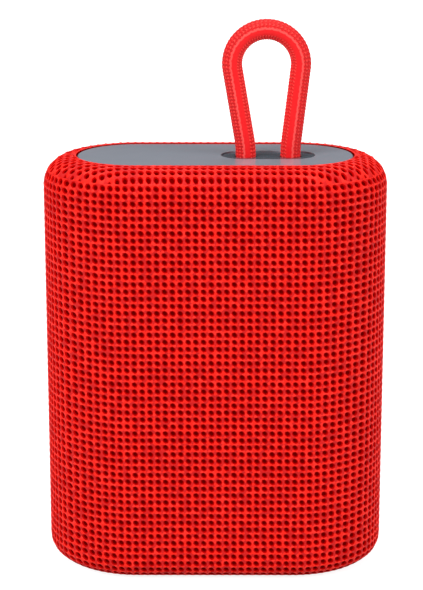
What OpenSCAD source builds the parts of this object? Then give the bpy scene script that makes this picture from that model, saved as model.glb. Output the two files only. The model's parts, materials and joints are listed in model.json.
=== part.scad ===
// Compact portable loudspeaker: a stadium-shaped housing in a stretch mesh sleeve,
// with a carry loop on top, a rear control panel, one driver and one passive radiator.
// Row frame: +Z up, -Y is the front, origin on the ground under the middle of the body.

/* [Body] */
// Width of the body across the two round ends
body_w = 93; // [86:0.5:104]
// Depth of the body from front to back, which is also the diameter of the round ends
body_d = 51; // [50:0.5:54]
// Height of the body from the ground to the top of the sleeve
body_h = 114; // [113:0.5:124]
// Radius of the top edge of the sleeve
edge_r = 8; // [7.5:0.5:8.5]
// Radius of the bottom edge of the sleeve
low_edge_r = 5; // [4.5:0.5:8]
// Thickness of the mesh sleeve
sleeve_t = 0.9; // [0.6:0.1:1]
// Wall thickness of the housing
wall = 2; // [1.8:0.1:2.2]

/* [Carry loop] */
// Diameter of the braided cord
cord_d = 5.3; // [4.4:0.1:5.5]
// Height of the middle of the loop's round top above the body
loop_rise = 24.3; // [20:0.1:32]
// Radius of the cord's centreline round the loop's top
loop_r = 9.2; // [8:0.1:11]
// How far the middle of the recess is to the right of the body's middle
recess_x = 14.25; // [10:0.25:14.5]
// Length of the recess in the top plate
recess_l = 25.4; // [25:0.2:26]
// Width of the recess in the top plate
recess_w = 12.8; // [12.4:0.2:14]

/* [Driver] */
// Height of the driver's middle above the ground
driver_z = 41; // [40.5:0.1:41.2]
// Radius of the driver's flange
driver_r = 27.5; // [27.2:0.1:27.6]
// Height of the passive radiator's middle above the ground
radiator_z = 40; // [36:0.5:42]
// Radius of the passive radiator's frame
radiator_r = 22; // [21.8:0.1:22.4]

/* [Control panel] */
// Width of the panel
panel_w = 42; // [41:0.5:43]
// Height of the panel
panel_h = 30; // [29.5:0.5:30.5]
// Spacing of the buttons along their row
button_pitch = 7.5; // [7.2:0.1:7.6]
// Radius of a button's cap
button_r = 2.9; // [2.4:0.1:3]
// How far a button travels
button_travel = 0.4; // [0.2:0.05:0.4]

/* [Battery] */
// Length of the pouch cell
cell_l = 50; // [40:1:52]
// Width of the pouch cell
cell_w = 32; // [28:1:32]
// Thickness of the pouch cell
cell_t = 6.5; // [5:0.5:6.5]

/* [Hidden] */

// Working clearance between pieces that slide together, and between curved faces
fit_gap = 0.1;
// Margin by which a cutter runs past the face that it cuts
over = 1;
// Segments in a quarter turn of a moulded edge's outline, and in a full circle
quarter = 10;
$fn = 96;

// Body outline: a stadium with these ends
end_r = body_d / 2;
straight = body_w / 2 - end_r;

// Ground clearance of the sleeve, which stands on the foot pad
lift = 0.6;
// Insets from the body's outline to the sleeve's turned-in hem and to the end plates
hem_out = edge_r + 1.1;
hem_in = hem_out - sleeve_t;
plate_inset = hem_out + 0.15;
hem_depth = 1.7;
hem_round = 0.5;

// Housing levels
core_inset = sleeve_t + fit_gap;
core_bottom = lift + core_inset;
deck_joint = 104;
deck_seat = body_h - 1.8;
deck_under = deck_seat - wall;
floor_seat = lift + 1.8;
floor_top = floor_seat + wall;
core_r = end_r - core_inset;
core_in_r = core_r - wall;
tongue_r = 21;
tongue_depth = 1.5;

// End plates
plate_t = 1.5;
plate_chamfer = 0.3;
plate_r = end_r - plate_inset;
foot_t = lift + 0.3;
foot_r = 12;

// Carry loop and the shallow cup that it rises from, a step below the face of the top plate
cord_r = cord_d / 2;
cup_step = 0.4;
cup_top = deck_seat + plate_t - cup_step;
cup_margin = 1.2;
cup_flange_t = 1;
cup_flange_w = 2;
cup_bottom = deck_seat - cup_flange_t;
leg_x = [8.2, 20.3];
loop_pivot_z = cup_top + cord_r + 0.05;
loop_mid = [13.66, body_h + loop_rise];
ferrule_r = 4;
leg_step = 0.03;
ferrule_z = [cup_bottom - 6.3, cup_bottom - fit_gap];
tail_bottom = ferrule_z[0] - 0.2;
cup_ear_x = recess_l / 2 + cup_margin + 4;
cup_ear_r = 3.2;

// Driver, measured inwards from the front face of its flange
driver_face = 20;
flange_t = 0.9;
gasket_t = 0.6;
driver_seat = flange_t + gasket_t;
driver_bore_r = 23.5;
driver_screw_r = 25.1;
grille_t = 1.2;
grille_rim = 0.6;
seat_plate = 13.1;
washer_t = 2.5;
magnet_t = 6;
pole_r = 6;
coil_gap = 0.3;

// Passive radiator, measured inwards from the outer face of its frame
radiator_face = 20;
radiator_frame_t = 1.2;
radiator_bore_r = 19.5;

// Electronics tray and boards
tray_z = 71;
tray_t = 2;
tray_top = tray_z + tray_t;
board_z = 76;
board_t = 1.2;
board_top = board_z + board_t;
board_x = 28;
board_y = [-11, 20];
pillar = [32, 7];
pillar_r = 3.2;
pillar_top = 105.9;
tray_boss = [33, 15.5];
standoffs = [[25, -8], [25, 16]];
battery_hole = [-31.5, 0];
speaker_hole = [0, -13.2];
grommet_r = 2.8;

// Screws: head radius, head height, shank radius
screw_m2 = [1.6, 1.2, 0.9];
screw_m25 = [2.2, 1.4, 1.15];
base_screw_at = [28, 6];

// Control panel on the back
panel_z = 87;
panel_face = end_r - 0.4;
panel_back = panel_face - 1.8;
panel_corner = 8;
button_z = panel_z + 6;
indicator_z = panel_z + 12;
indicator_x = 4;
button_x = [for (i = [-2:2]) i * button_pitch];
button_board_y = [17.8, 19];
button_board_z = [87.5, 100.5];
switch_top = 20.6;
post_at = [1.5 * button_pitch, panel_z + 11.3];
post_r = 2.2;

// Port bay in the panel and its hinged rubber cover
bay_x = 13.3;
bay_z = [74.6, 84.2];
bay_wall = 1;
bay_floor_y = 22.3;
hinge_y = 24.5;
hinge_z = 76;
hinge_r = 0.6;
cover_x = bay_x - 0.2;
usb_x = -7.4;
usb_w = 8.94;
usb_h = 3.26;
card_x = 5.2;
card_w = 14.4;

// Battery beside the driver
cell_z = 12;
cell_x = -35;
tray_sheet = 1.2;

// ---- Outlines ----

// Points of an arc, angles in degrees
function arc(c, r, a0, a1, n = quarter) =
    [for (i = [0:n]) c + r * [cos(a0 + (a1 - a0) * i / n), sin(a0 + (a1 - a0) * i / n)]];

// The points of an outline in reverse order, on the other side of its axis
function mirrored(p) = [for (i = [len(p) - 1:-1:0]) if (p[i][0] > 0) [-p[i][0], p[i][1]]];

// ---- Shared shapes ----

// A rounded plate outline, centred
module rounded_outline(w, h, r) {
    square([w - 2 * r, h], center = true);
    square([w, h - 2 * r], center = true);
    for (x = [-1, 1], y = [-1, 1])
        translate([x * (w / 2 - r), y * (h / 2 - r)]) circle(r);
}

// A stadium outline along X, centred
module stadium_outline(l, w) {
    square([l - w, w], center = true);
    for (x = [-1, 1]) translate([x * (l - w) / 2, 0]) circle(d = w);
}

// Puts an XZ outline on the back of the body, drawn from y0 to y1
module on_back(y0, y1) {
    translate([0, y1, 0]) rotate([90, 0, 0]) linear_extrude(y1 - y0) children();
}

// A solid that follows the body's stadium, from an outline of [distance from the middle, height]
// that starts and ends on the axis
module stadium_solid(outline) {
    rotate([90, 0, 90]) translate([0, 0, -straight]) linear_extrude(2 * straight)
        polygon(concat(outline, mirrored(outline)));
    for (side = [-1, 1]) translate([side * straight, 0, 0]) rotate([0, 0, -side * 90])
        rotate_extrude(angle = 180) polygon(outline);
}

// A ring that follows the body's stadium, from a closed outline that stays off the axis
module stadium_ring(outline) {
    for (side = [0, 1]) mirror([0, side, 0]) rotate([90, 0, 90])
        translate([0, 0, -straight]) linear_extrude(2 * straight) polygon(outline);
    for (side = [-1, 1]) translate([side * straight, 0, 0]) rotate([0, 0, -side * 90])
        rotate_extrude(angle = 180) polygon(outline);
}

// A ring or disc about the local Z axis
module washer(r0, r1, z0, z1) {
    difference() {
        translate([0, 0, z0]) cylinder(r = r1, h = z1 - z0);
        if (r0 > 0) translate([0, 0, z0 - over]) cylinder(r = r0, h = z1 - z0 + 2 * over);
    }
}

// A pan-head screw that points down from z = 0, its head above, with a cross recess
module screw(size, length) {
    slot = size[0] * 1.1;
    difference() {
        union() {
            cylinder(r = size[0], h = size[1]);
            translate([0, 0, -length]) cylinder(r = size[2], h = length + over / 2);
        }
        for (a = [0, 90]) rotate([0, 0, a])
            translate([-slot / 2, -0.2, size[1] * 0.45]) cube([slot, 0.4, size[1]]);
    }
}

// A pilot hole for a screw that points down from z = 0
module pilot(size, length) {
    translate([0, 0, -length]) cylinder(r = size[2] + 0.05, h = length + over);
}

// Children at all four corners of a rectangle
module at_corners(p) {
    for (x = [-1, 1], y = [-1, 1]) translate([x * p[0], y * p[1], 0]) children();
}

// Local Z points into the body from the driver's flange
module at_driver() {
    translate([0, -driver_face, driver_z]) rotate([-90, 0, 0]) children();
}

// Local Z points into the body from the radiator's frame
module at_radiator() {
    translate([0, radiator_face, radiator_z]) rotate([90, 0, 0]) children();
}

// A wire of radius r through the points, as one closed tube
module wire(points, r, sides = 8) {
    last = len(points) - 1;
    function unit(v) = v / norm(v);
    function heading(i) = unit(points[min(i + 1, last)] - points[max(i - 1, 0)]);
    function across(i) = unit(cross(heading(i), [0.31, 0.95, 0.05]));
    rings = [for (i = [0:last]) for (k = [0:sides - 1])
        let (u = across(i), v = cross(heading(i), u), a = 360 * k / sides)
        points[i] + r * (cos(a) * u + sin(a) * v)];
    skin = [for (i = [0:last - 1]) for (k = [0:sides - 1])
        let (k2 = (k + 1) % sides)
        [i * sides + k, (i + 1) * sides + k, (i + 1) * sides + k2, i * sides + k2]];
    polyhedron(rings, concat(skin, [[for (k = [0:sides - 1]) k]],
        [[for (k = [sides - 1:-1:0]) last * sides + k]]));
}

// ---- Sleeve and end plates ----

// Outer face of half the sleeve with edge radius r, from the wall to the foot of the hem
function sleeve_outside(top, r) = concat(
    arc([end_r - r, top - r], r, 0, 90),
    arc([end_r - hem_out + hem_round, top - hem_round], hem_round, 90, 180, 4),
    [[end_r - hem_out, top - hem_depth]]);

// Inner face of half the sleeve with edge radius r, from the foot of the hem to the wall
function sleeve_inside(top, r) = concat(
    [[end_r - hem_in, top - hem_depth], [end_r - hem_in, top - sleeve_t]],
    arc([end_r - r, top - r], r - sleeve_t, 90, 0));

// The same points for the lower half, which mirrors the upper half
function lower(points) = [for (i = [len(points) - 1:-1:0])
    [points[i][0], body_h + lift - points[i][1]]];

module mesh_sleeve() {
    color("red") difference() {
        stadium_ring(concat(sleeve_outside(body_h, edge_r), sleeve_inside(body_h, edge_r),
            lower(sleeve_inside(body_h, low_edge_r)), lower(sleeve_outside(body_h, low_edge_r))));
        on_back(end_r - 2 * sleeve_t, end_r + over) translate([0, panel_z])
            rounded_outline(panel_w + 0.6, panel_h + 0.6, panel_corner + 0.3);
    }
}

module top_plate() {
    color("slategray") difference() {
        stadium_solid([[0, deck_seat], [plate_r, deck_seat],
            [plate_r, deck_seat + plate_t - plate_chamfer],
            [plate_r - plate_chamfer, deck_seat + plate_t], [0, deck_seat + plate_t]]);
        translate([recess_x, 0, deck_seat - over]) linear_extrude(plate_t + 2 * over)
            stadium_outline(recess_l, recess_w);
    }
}

module base_plate() {
    color("dimgray") difference() {
        stadium_solid([[0, floor_seat - plate_t], [plate_r - plate_chamfer, floor_seat - plate_t],
            [plate_r, floor_seat - plate_t + plate_chamfer], [plate_r, floor_seat],
            [0, floor_seat]]);
        at_corners(base_screw_at) translate([0, 0, floor_seat - plate_t - over]) {
            cylinder(r = screw_m2[0] + 0.2, h = over + screw_m2[1] - 0.2);
            cylinder(r = screw_m2[2] + 0.2, h = plate_t + 2 * over);
        }
    }
}

module base_screws() {
    color("silver") at_corners(base_screw_at)
        translate([0, 0, floor_seat - plate_t + screw_m2[1] - 0.2]) mirror([0, 0, 1])
            screw(screw_m2, 6);
}

module foot_pad() {
    color("black") difference() {
        linear_extrude(foot_t) stadium_outline(2 * (straight + foot_r), 2 * foot_r);
        at_corners(base_screw_at) translate([0, 0, foot_t - 0.3])
            cylinder(r = screw_m2[0] + 0.3, h = over);
    }
}

// ---- Housing ----

module core_housing() {
    outside = concat([[0, floor_seat], [end_r - hem_in + fit_gap, floor_seat],
        [end_r - hem_in + fit_gap, core_bottom]],
        arc([end_r - low_edge_r, core_bottom + low_edge_r - core_inset], low_edge_r - core_inset,
            -90, 0),
        [[core_r, deck_joint]]);
    inside = concat([[core_in_r, deck_joint]],
        arc([core_in_r - 5, floor_top + 5], 5, 0, -90), [[0, floor_top]]);
    color("darkslategray") difference() {
        union() {
            stadium_solid(concat(outside, inside));
            // Rings that the driver and the radiator are set in
            at_driver() difference() {
                translate([0, 0, -2.5]) cylinder(r = driver_r + 2.2, h = driver_seat + 4.5);
                translate([0, 0, -4]) cylinder(r = driver_r, h = over);
            }
            at_radiator() translate([0, 0, -2.5])
                cylinder(r = radiator_r + 2.2, h = radiator_frame_t + 4.5);
            // Bosses under the electronics tray and over the base plate
            at_corners(tray_boss) translate([0, 0, tray_z - 6]) cylinder(r = 3, h = 6);
            at_corners(base_screw_at) translate([0, 0, floor_seat]) cylinder(r = 3, h = 6.5);
        }
        at_driver() {
            translate([0, 0, -over - 5]) cylinder(r = driver_r + 0.2, h = driver_seat + over + 5);
            cylinder(r = driver_bore_r, h = 12);
            for (a = [45:90:315]) rotate([0, 0, a]) translate([driver_screw_r, 0, driver_seat])
                mirror([0, 0, 1]) pilot(screw_m2, 4);
        }
        at_radiator() {
            translate([0, 0, -over - 5])
                cylinder(r = radiator_r + 0.2, h = radiator_frame_t + over + 5);
            cylinder(r = radiator_bore_r, h = 12);
        }
        on_back(core_in_r - over, core_r + over) translate([0, panel_z])
            rounded_outline(panel_w - 2, panel_h - 2, panel_corner - 1);
        on_back(panel_back - fit_gap, core_r + over) translate([0, panel_z])
            rounded_outline(panel_w + 0.4, panel_h + 0.4, panel_corner + 0.2);
        at_corners(tray_boss) translate([0, 0, tray_z]) pilot(screw_m2, 5.5);
        at_corners(base_screw_at) translate([0, 0, floor_seat]) mirror([0, 0, 1])
            pilot(screw_m2, 6);
    }
}

module top_deck() {
    outline = concat([[0, deck_under], [tongue_r - 3.5, deck_under]],
        arc([tongue_r - 3.5, deck_under - 3.5], 3.5, 90, 0),
        [[tongue_r, deck_joint - tongue_depth], [core_in_r - fit_gap, deck_joint - tongue_depth],
        [core_in_r - fit_gap, deck_joint], [core_r, deck_joint]],
        arc([end_r - edge_r, body_h - edge_r], edge_r - core_inset, 0, 90),
        [[end_r - hem_in + fit_gap, body_h - core_inset],
        [end_r - hem_in + fit_gap, deck_seat], [0, deck_seat]]);
    color("darkslategray") difference() {
        union() {
            stadium_solid(outline);
            at_corners(pillar) translate([0, 0, pillar_top]) cylinder(r = 3.6,
                h = deck_seat - pillar_top);
            for (x = [-1, 1]) translate([recess_x + x * cup_ear_x, 0, deck_under - 4])
                cylinder(r = 2.6, h = 5);
        }
        // Hole for the cord's ends and flange seat for the loop's cup
        translate([recess_x, 0, deck_under - over]) linear_extrude(wall + 2 * over)
            stadium_outline(recess_l + 2 * cup_margin, recess_w + 2 * cup_margin);
        translate([0, 0, cup_bottom]) cup_flange(over + cup_flange_t, fit_gap);
        for (x = [-1, 1]) translate([recess_x + x * cup_ear_x, 0, cup_bottom])
            pilot(screw_m2, 4.5);
        at_corners(pillar) {
            translate([0, 0, deck_seat - screw_m25[1]]) cylinder(r = screw_m25[0] + 0.2, h = wall);
            translate([0, 0, pillar_top - over]) cylinder(r = screw_m25[2] + 0.2, h = 10);
        }
    }
}

module deck_screws() {
    color("silver") at_corners(pillar) translate([0, 0, deck_seat - screw_m25[1]])
        screw(screw_m25, 12.5);
}

// ---- Carry loop ----

// Flange of the cup, grown by gap, with an ear at each end
module cup_flange(h, gap = 0) {
    grow = 2 * (cup_margin + cup_flange_w + gap);
    translate([recess_x, 0, 0]) {
        linear_extrude(h) stadium_outline(recess_l + grow, recess_w + grow);
        for (x = [-1, 1]) translate([x * cup_ear_x, 0, 0]) cylinder(r = cup_ear_r + gap, h = h);
    }
}

// A flange under the top plate, and a face that fills the plate's opening almost to the top
module loop_cup() {
    color("gray") difference() {
        union() {
            translate([0, 0, cup_bottom]) cup_flange(cup_flange_t);
            translate([recess_x, 0, cup_bottom]) linear_extrude(cup_top - cup_bottom)
                stadium_outline(recess_l - 2 * fit_gap, recess_w - 2 * fit_gap);
        }
        for (x = leg_x) translate([x, 0, cup_bottom - over])
            cylinder(r = cord_r + 0.25, h = cup_top - cup_bottom + 2 * over);
        for (x = [-1, 1]) translate([recess_x + x * cup_ear_x, 0, cup_bottom]) {
            translate([0, 0, -over]) cylinder(r = screw_m2[2] + 0.1, h = 3);
            translate([0, 0, 0.3]) cylinder(r = screw_m2[0] + 0.1, h = 2);
        }
    }
}

// The heads are flat, so that they stay below the top plate
module cup_screws() {
    color("silver") for (x = [-1, 1])
        translate([recess_x + x * cup_ear_x, 0, cup_bottom + 0.3])
            screw([screw_m2[0], 0.6, screw_m2[2]], 4.5);
}

// Angle from the vertical, and length, of the straight leg that starts at x and meets the round top
function leg_reach(x) = loop_mid - [x, loop_pivot_z];
function leg_length(x) = sqrt(leg_reach(x) * leg_reach(x) - loop_r * loop_r);
function leg_lean(x, side) = atan2(leg_reach(x)[0], leg_reach(x)[1])
    + side * asin(loop_r / norm(leg_reach(x)));

// Round feet and legs, and a bend that the slightly slimmer legs end inside
module carry_loop() {
    lean = [leg_lean(leg_x[0], -1), leg_lean(leg_x[1], 1)];
    color("tomato") {
        for (i = [0, 1]) translate([leg_x[i], 0, loop_pivot_z]) {
            sphere(cord_r);
            rotate([0, lean[i], 0])
                cylinder(r = cord_r - leg_step, h = leg_length(leg_x[i]) + leg_step * 10);
        }
        translate([loop_mid[0], 0, loop_mid[1]]) rotate([90, 0, 0]) rotate([0, 0, -lean[1]])
            rotate_extrude(angle = 180 + lean[1] - lean[0]) translate([loop_r, 0]) circle(cord_r);
    }
}

module loop_tails() {
    color("tomato") for (x = leg_x) translate([x, 0, tail_bottom])
        cylinder(r = cord_r, h = cup_top - 0.05 - tail_bottom);
}

module loop_ferrules() {
    color("silver") for (x = leg_x) translate([x, 0, 0])
        washer(cord_r + 0.05, ferrule_r, ferrule_z[0], ferrule_z[1]);
}

// ---- Driver ----

// Hexagonal field of holes inside radius field
module hole_field(field, pitch, r) {
    rows = ceil(field / (pitch * 0.866));
    for (j = [-rows:rows], i = [-rows:rows]) {
        p = [(i + (abs(j) % 2) / 2) * pitch, j * pitch * 0.866];
        if (norm(p) <= field) translate(p) circle(r);
    }
}

// Perforated disc that backs the sleeve over an opening, with a rim down to the frame
module inner_grille(r, field, face) {
    depth = core_r - face;
    difference() {
        intersection() {
            union() {
                translate([0, 0, -depth]) cylinder(r = r, h = grille_t);
                washer(r - grille_rim, r, -depth, 0);
            }
            children();
        }
        translate([0, 0, -depth - over]) linear_extrude(grille_t + 2 * over)
            hole_field(field, 4.6, 1.6);
    }
}

// The space inside the sleeve between two heights, in the row frame
module sleeve_space(z0, z1) {
    stadium_solid([[0, z0], [core_r, z0], [core_r, z1], [0, z1]]);
}

module front_grille() {
    color("dimgray") at_driver() inner_grille(driver_r, 24, driver_face)
        rotate([90, 0, 0]) translate([0, driver_face, -driver_z]) sleeve_space(5, 80);
}

module rear_grille() {
    color("dimgray") at_radiator() inner_grille(radiator_r, 18.5, radiator_face)
        rotate([-90, 0, 0]) translate([0, -radiator_face, -radiator_z]) sleeve_space(5, 80);
}

module driver_gasket() {
    color("black") at_driver() difference() {
        washer(driver_bore_r + 0.2, driver_r, flange_t, driver_seat);
        for (a = [45:90:315]) rotate([0, 0, a]) translate([driver_screw_r, 0, 0])
            cylinder(r = screw_m2[2] + 0.2, h = 3);
    }
}

module driver_basket() {
    color("silver") at_driver() difference() {
        rotate_extrude() polygon([[21.9, 0], [driver_r, 0], [driver_r, flange_t],
            [23.2, flange_t], [17.2, seat_plate], [8.5, seat_plate], [8.5, seat_plate - 0.9],
            [16.4, seat_plate - 0.9], [21.9, 1.6]]);
        for (a = [45:90:315]) rotate([0, 0, a]) {
            translate([driver_screw_r, 0, -over]) cylinder(r = screw_m2[2] + 0.2, h = 4);
            translate([12, 0, 6.8]) rotate([0, 90, 0]) cylinder(r = 3.6, h = 14);
        }
    }
}

module driver_screws() {
    color("silver") at_driver() for (a = [45:90:315]) rotate([0, 0, a])
        translate([driver_screw_r, 0, 0]) mirror([0, 0, 1]) screw(screw_m2, 5);
}

// Half-roll suspension between radius r0 and r1, with an inner and an outer lip
module half_roll(r0, r1, lip, depth) {
    mid = [(r0 + r1) / 2, -0.3];
    big = (r1 - r0) / 2;
    small = big - 0.5;
    a = asin(0.5 / big);
    b = asin(0.2 / big);
    rotate_extrude() polygon(concat([[r0 - lip, -0.3], [r0 - lip, -0.8]],
        arc(mid, big, 180 + a, 360 - b, 16),
        [[r1 + depth, -0.5], [r1 + depth, 0], [mid[0] + small, 0]],
        arc(mid, small, 360, 180, 16)));
}

module driver_surround() {
    color("black") at_driver() half_roll(17.35, 22.05, 1.1, 1.2);
}

module driver_cone() {
    color("dimgray") at_driver() rotate_extrude() polygon([[17.8, -0.3], [17.8, 0.2],
        [16.2, 0.2], [6.55, 6.1], [6.55, 5.5], [16, -0.3]]);
}

module dust_cap() {
    ball = 13.6;
    tip = 2;
    rim = acos((ball - 2.55) / ball);
    color("dimgray") at_driver() rotate_extrude() polygon(concat(
        arc([0, ball + tip], ball, -90, -90 + rim, 8),
        arc([0, ball + tip], ball - 0.35, -90 + rim - 0.8, -90, 8)));
}

module voice_coil() {
    color("peru") at_driver() union() {
        washer(pole_r + coil_gap, pole_r + 0.5, 5, 17.5);
        washer(pole_r + coil_gap, pole_r + 1.1, 12, 17.5);
    }
}

module driver_spider() {
    depth = 7.2;
    ridges = [for (i = [0:6]) [8 + i * 1.5, i % 2 == 0 ? 0 : 0.7]];
    front = concat([[6.6, 0]], ridges, [[18.6, 0]]);
    color("goldenrod") at_driver() translate([0, 0, depth]) rotate_extrude()
        polygon(concat(front, [for (i = [len(front) - 1:-1:0]) front[i] + [0, 0.35]]));
}

module magnet_washer() {
    color("silver") at_driver() washer(pole_r + 1.5, 15.5, seat_plate, seat_plate + washer_t);
}

module magnet_ring() {
    z = seat_plate + washer_t;
    color("darkslategray") at_driver() washer(9.5, 18, z, z + magnet_t);
}

module magnet_yoke() {
    z = seat_plate + washer_t + magnet_t;
    color("silver") at_driver() union() {
        translate([0, 0, z]) cylinder(r = 15.5, h = 2.5);
        translate([0, 0, seat_plate]) cylinder(r = pole_r, h = z - seat_plate + over);
    }
}

module driver_terminals() {
    color("peru") at_driver() union() {
        translate([-5, -20.5, seat_plate]) cube([10, 4.8, 1]);
        for (x = [-3, 3]) translate([x - 0.8, -23, seat_plate + 1 - 0.01]) cube([1.6, 4, 0.5]);
    }
}

// ---- Passive radiator ----

module radiator_frame() {
    color("dimgray") at_radiator() washer(17.9, radiator_r, 0, radiator_frame_t);
}

module radiator_surround() {
    color("black") at_radiator() half_roll(14.5, 18.3, 1, 2);
}

module radiator_plate() {
    color("silver") at_radiator() union() {
        translate([0, 0, -0.3]) cylinder(r = 14.8, h = 0.8);
        translate([0, 0, 0.4]) cylinder(r = 8, h = 2.6);
    }
}

// ---- Electronics ----

module electronics_tray() {
    tray_r = core_in_r - fit_gap;
    color("dimgray") difference() {
        union() {
            stadium_solid([[0, tray_z], [tray_r, tray_z], [tray_r, tray_top], [0, tray_top]]);
            at_corners(pillar) translate([0, 0, tray_z]) cylinder(r = pillar_r,
                h = pillar_top - tray_z);
            for (x = [-1, 1], p = standoffs) translate([x * p[0], p[1], tray_z])
                cylinder(r = 2.4, h = board_z - tray_z);
        }
        at_corners(pillar) translate([0, 0, pillar_top]) pilot(screw_m25, 8);
        at_corners(tray_boss) translate([0, 0, tray_z - over]) cylinder(r = screw_m2[2] + 0.2,
            h = tray_t + 2 * over);
        for (x = [-1, 1], p = standoffs) translate([x * p[0], p[1], board_z])
            pilot(screw_m2, 4);
        for (p = [battery_hole, speaker_hole]) translate([p[0], p[1], tray_z - over])
            cylinder(r = grommet_r - 0.8, h = tray_t + 2 * over);
    }
}

module tray_screws() {
    color("silver") at_corners(tray_boss) translate([0, 0, tray_top]) screw(screw_m2, 7);
}

module wire_grommets() {
    color("black") for (p = [battery_hole, speaker_hole]) translate([p[0], p[1], 0])
        difference() {
            union() {
                washer(0, grommet_r - 0.85, tray_z - 0.8, tray_top + 0.8);
                washer(0, grommet_r, tray_z - 0.8, tray_z);
                washer(0, grommet_r, tray_top, tray_top + 0.8);
            }
            for (s = [-1, 1]) translate(p == battery_hole ? [0, s, tray_z - 3] : [s, 0, tray_z - 3])
                cylinder(r = 0.7, h = 8);
        }
}

module main_board() {
    color("darkgreen") difference() {
        translate([-board_x, board_y[0], board_z])
            cube([2 * board_x, board_y[1] - board_y[0], board_t]);
        for (x = [-1, 1], p = standoffs) translate([x * p[0], p[1], board_z - over])
            cylinder(r = screw_m2[2] + 0.2, h = board_t + 2 * over);
    }
}

// Four screws hold the main board, and two more hold the button board to the panel's posts
module board_screws() {
    color("silver") {
        for (x = [-1, 1], p = standoffs) translate([x * p[0], p[1], board_top])
            screw(screw_m2, 4.5);
        for (x = [-1, 1]) translate([x * post_at[0], button_board_y[0], post_at[1]])
            rotate([90, 0, 0]) screw(screw_m2, 4.5);
    }
}

// Radio board with its shield can and a strip for the printed aerial
module wireless_module() {
    color("lightsteelblue") translate([-24, -3, board_top]) {
        cube([12, 16, 0.8]);
        translate([0.8, 0.8, 0.79]) cube([10.4, 10.4, 1.8]);
    }
}

// Amplifier, processor, coil and filter capacitors
module board_components() {
    color("darkslategray") translate([0, 0, board_top]) {
        translate([-8, -2, 0]) cube([7, 7, 0.9]);
        translate([3, -3, 0]) cube([5, 5, 0.9]);
        translate([12, -5, 0]) cube([6, 6, 3]);
        for (y = [-1, 6]) translate([21.5, y, 0]) cylinder(r = 2.6, h = 5.4);
        for (i = [0:4]) translate([-9 + i * 2.4, -6.5, 0]) cube([1.6, 0.8, 0.6]);
        for (i = [0:2]) translate([-9 + i * 2.4, 7, 0]) cube([0.8, 1.6, 0.6]);
    }
}

module usb_c_port() {
    outer = [usb_w, usb_h];
    color("silver") {
        difference() {
            on_back(14.8, 22.2) translate([usb_x, board_top + usb_h / 2])
                rounded_outline(outer[0], outer[1], 1.5);
            on_back(15.8, 23) translate([usb_x, board_top + usb_h / 2])
                rounded_outline(outer[0] - 0.6, outer[1] - 0.6, 1.25);
        }
        on_back(15.7, 21.5) translate([usb_x, board_top + usb_h / 2])
            square([6.7, 0.7], center = true);
    }
}

module card_socket() {
    color("silver") difference() {
        translate([card_x - card_w / 2, 6.5, board_top]) cube([card_w, 14.7, 1.9]);
        translate([card_x - 5.6, 8, board_top + 0.4]) cube([11.2, 16, 1.1]);
    }
}

// Sockets for the battery, the speaker and both ends of the ribbon
module wire_sockets() {
    color("ivory") {
        translate([-27, -3, board_top]) cube([2.8, 6, 3.6]);
        translate([-3, -10, board_top]) cube([6, 3.2, 3.6]);
        translate([15.4, 12, board_top]) cube([8.2, 2.6, 2]);
        translate([8, 15.8, 87.8]) cube([9.6, 2, 3]);
    }
}

// Flat cable that steps sideways from the main board up to the button board
module ribbon_cable() {
    t = 0.25;
    color("white") {
        translate([15.9, 13, board_top + 2]) cube([7.2, t, 2.4]);
        translate([9, 13, board_top + 4.2]) cube([14.1, t, 3]);
        translate([9, 13, board_top + 7]) cube([7.2, t, 5.4]);
        translate([9, 13, board_top + 12.2]) cube([7.2, 2.8, t]);
    }
}

module speaker_wires() {
    color("firebrick") for (s = [-1, 1]) wire([
        [s * 3, -5.65, 64.02], [s * 3, -5.65, 65.2], [s * 2.6, -6.6, 66.6], [s * 2, -8.6, 67.6],
        [s * 1.4, -10.8, 68.1], [s * 1.1, -12.4, 68.6], [s, -13.2, 69.6], [s, -13.2, 71.2],
        [s, -13.2, 73], [s, -13.2, 75], [s, -13.2, 77], [s, -12.9, 78.3], [s, -11.9, 79],
        [s, -10.9, 79.1], [s, -10.02, 79.1]], 0.55);
}

module battery_wires() {
    color("firebrick") for (s = [-1, 1]) wire([
        [-31.5, s, 65.1], [-31.5, s, 67], [-31.5, s, 69], [-31.5, s, 71.2], [-31.5, s, 73],
        [-31.5, s, 75.4], [-31.3, s, 77], [-30.4, s, 78.4], [-29, s, 79], [-27.05, s, 79.1]],
        0.55);
}

module battery_cell() {
    color("silver") translate([cell_x, -cell_w / 2, cell_z]) cube([cell_t, cell_w, cell_l]);
}

// Angle tray between the housing's end wall and the cell, on two ribs that stand on the floor
module battery_tray() {
    w = 30;
    leg_h = cell_z - tray_sheet - floor_top;
    color("dimgray") translate([cell_x - tray_sheet, 0, cell_z - tray_sheet]) {
        translate([0, -w / 2, 0]) cube([tray_sheet, w, cell_l + tray_sheet]);
        translate([0, -w / 2, 0]) cube([tray_sheet + cell_t, w, tray_sheet]);
        for (y = [-2.5, 1.5]) translate([0, y, -leg_h]) cube([tray_sheet + cell_t, 1, leg_h + over / 2]);
    }
}

// Protection circuit folded over the cell's top edge
module protection_board() {
    color("darkgreen") translate([cell_x + 1.5, -12, cell_z + cell_l]) {
        cube([4, 24, 1]);
        translate([1, 4, 0.99]) cube([2, 3, 0.9]);
        translate([1, 16, 0.99]) cube([2, 4, 0.9]);
        translate([0.5, 9.5, 0.99]) cube([3, 5, 2.1]);
    }
}

// ---- Control panel ----

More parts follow.
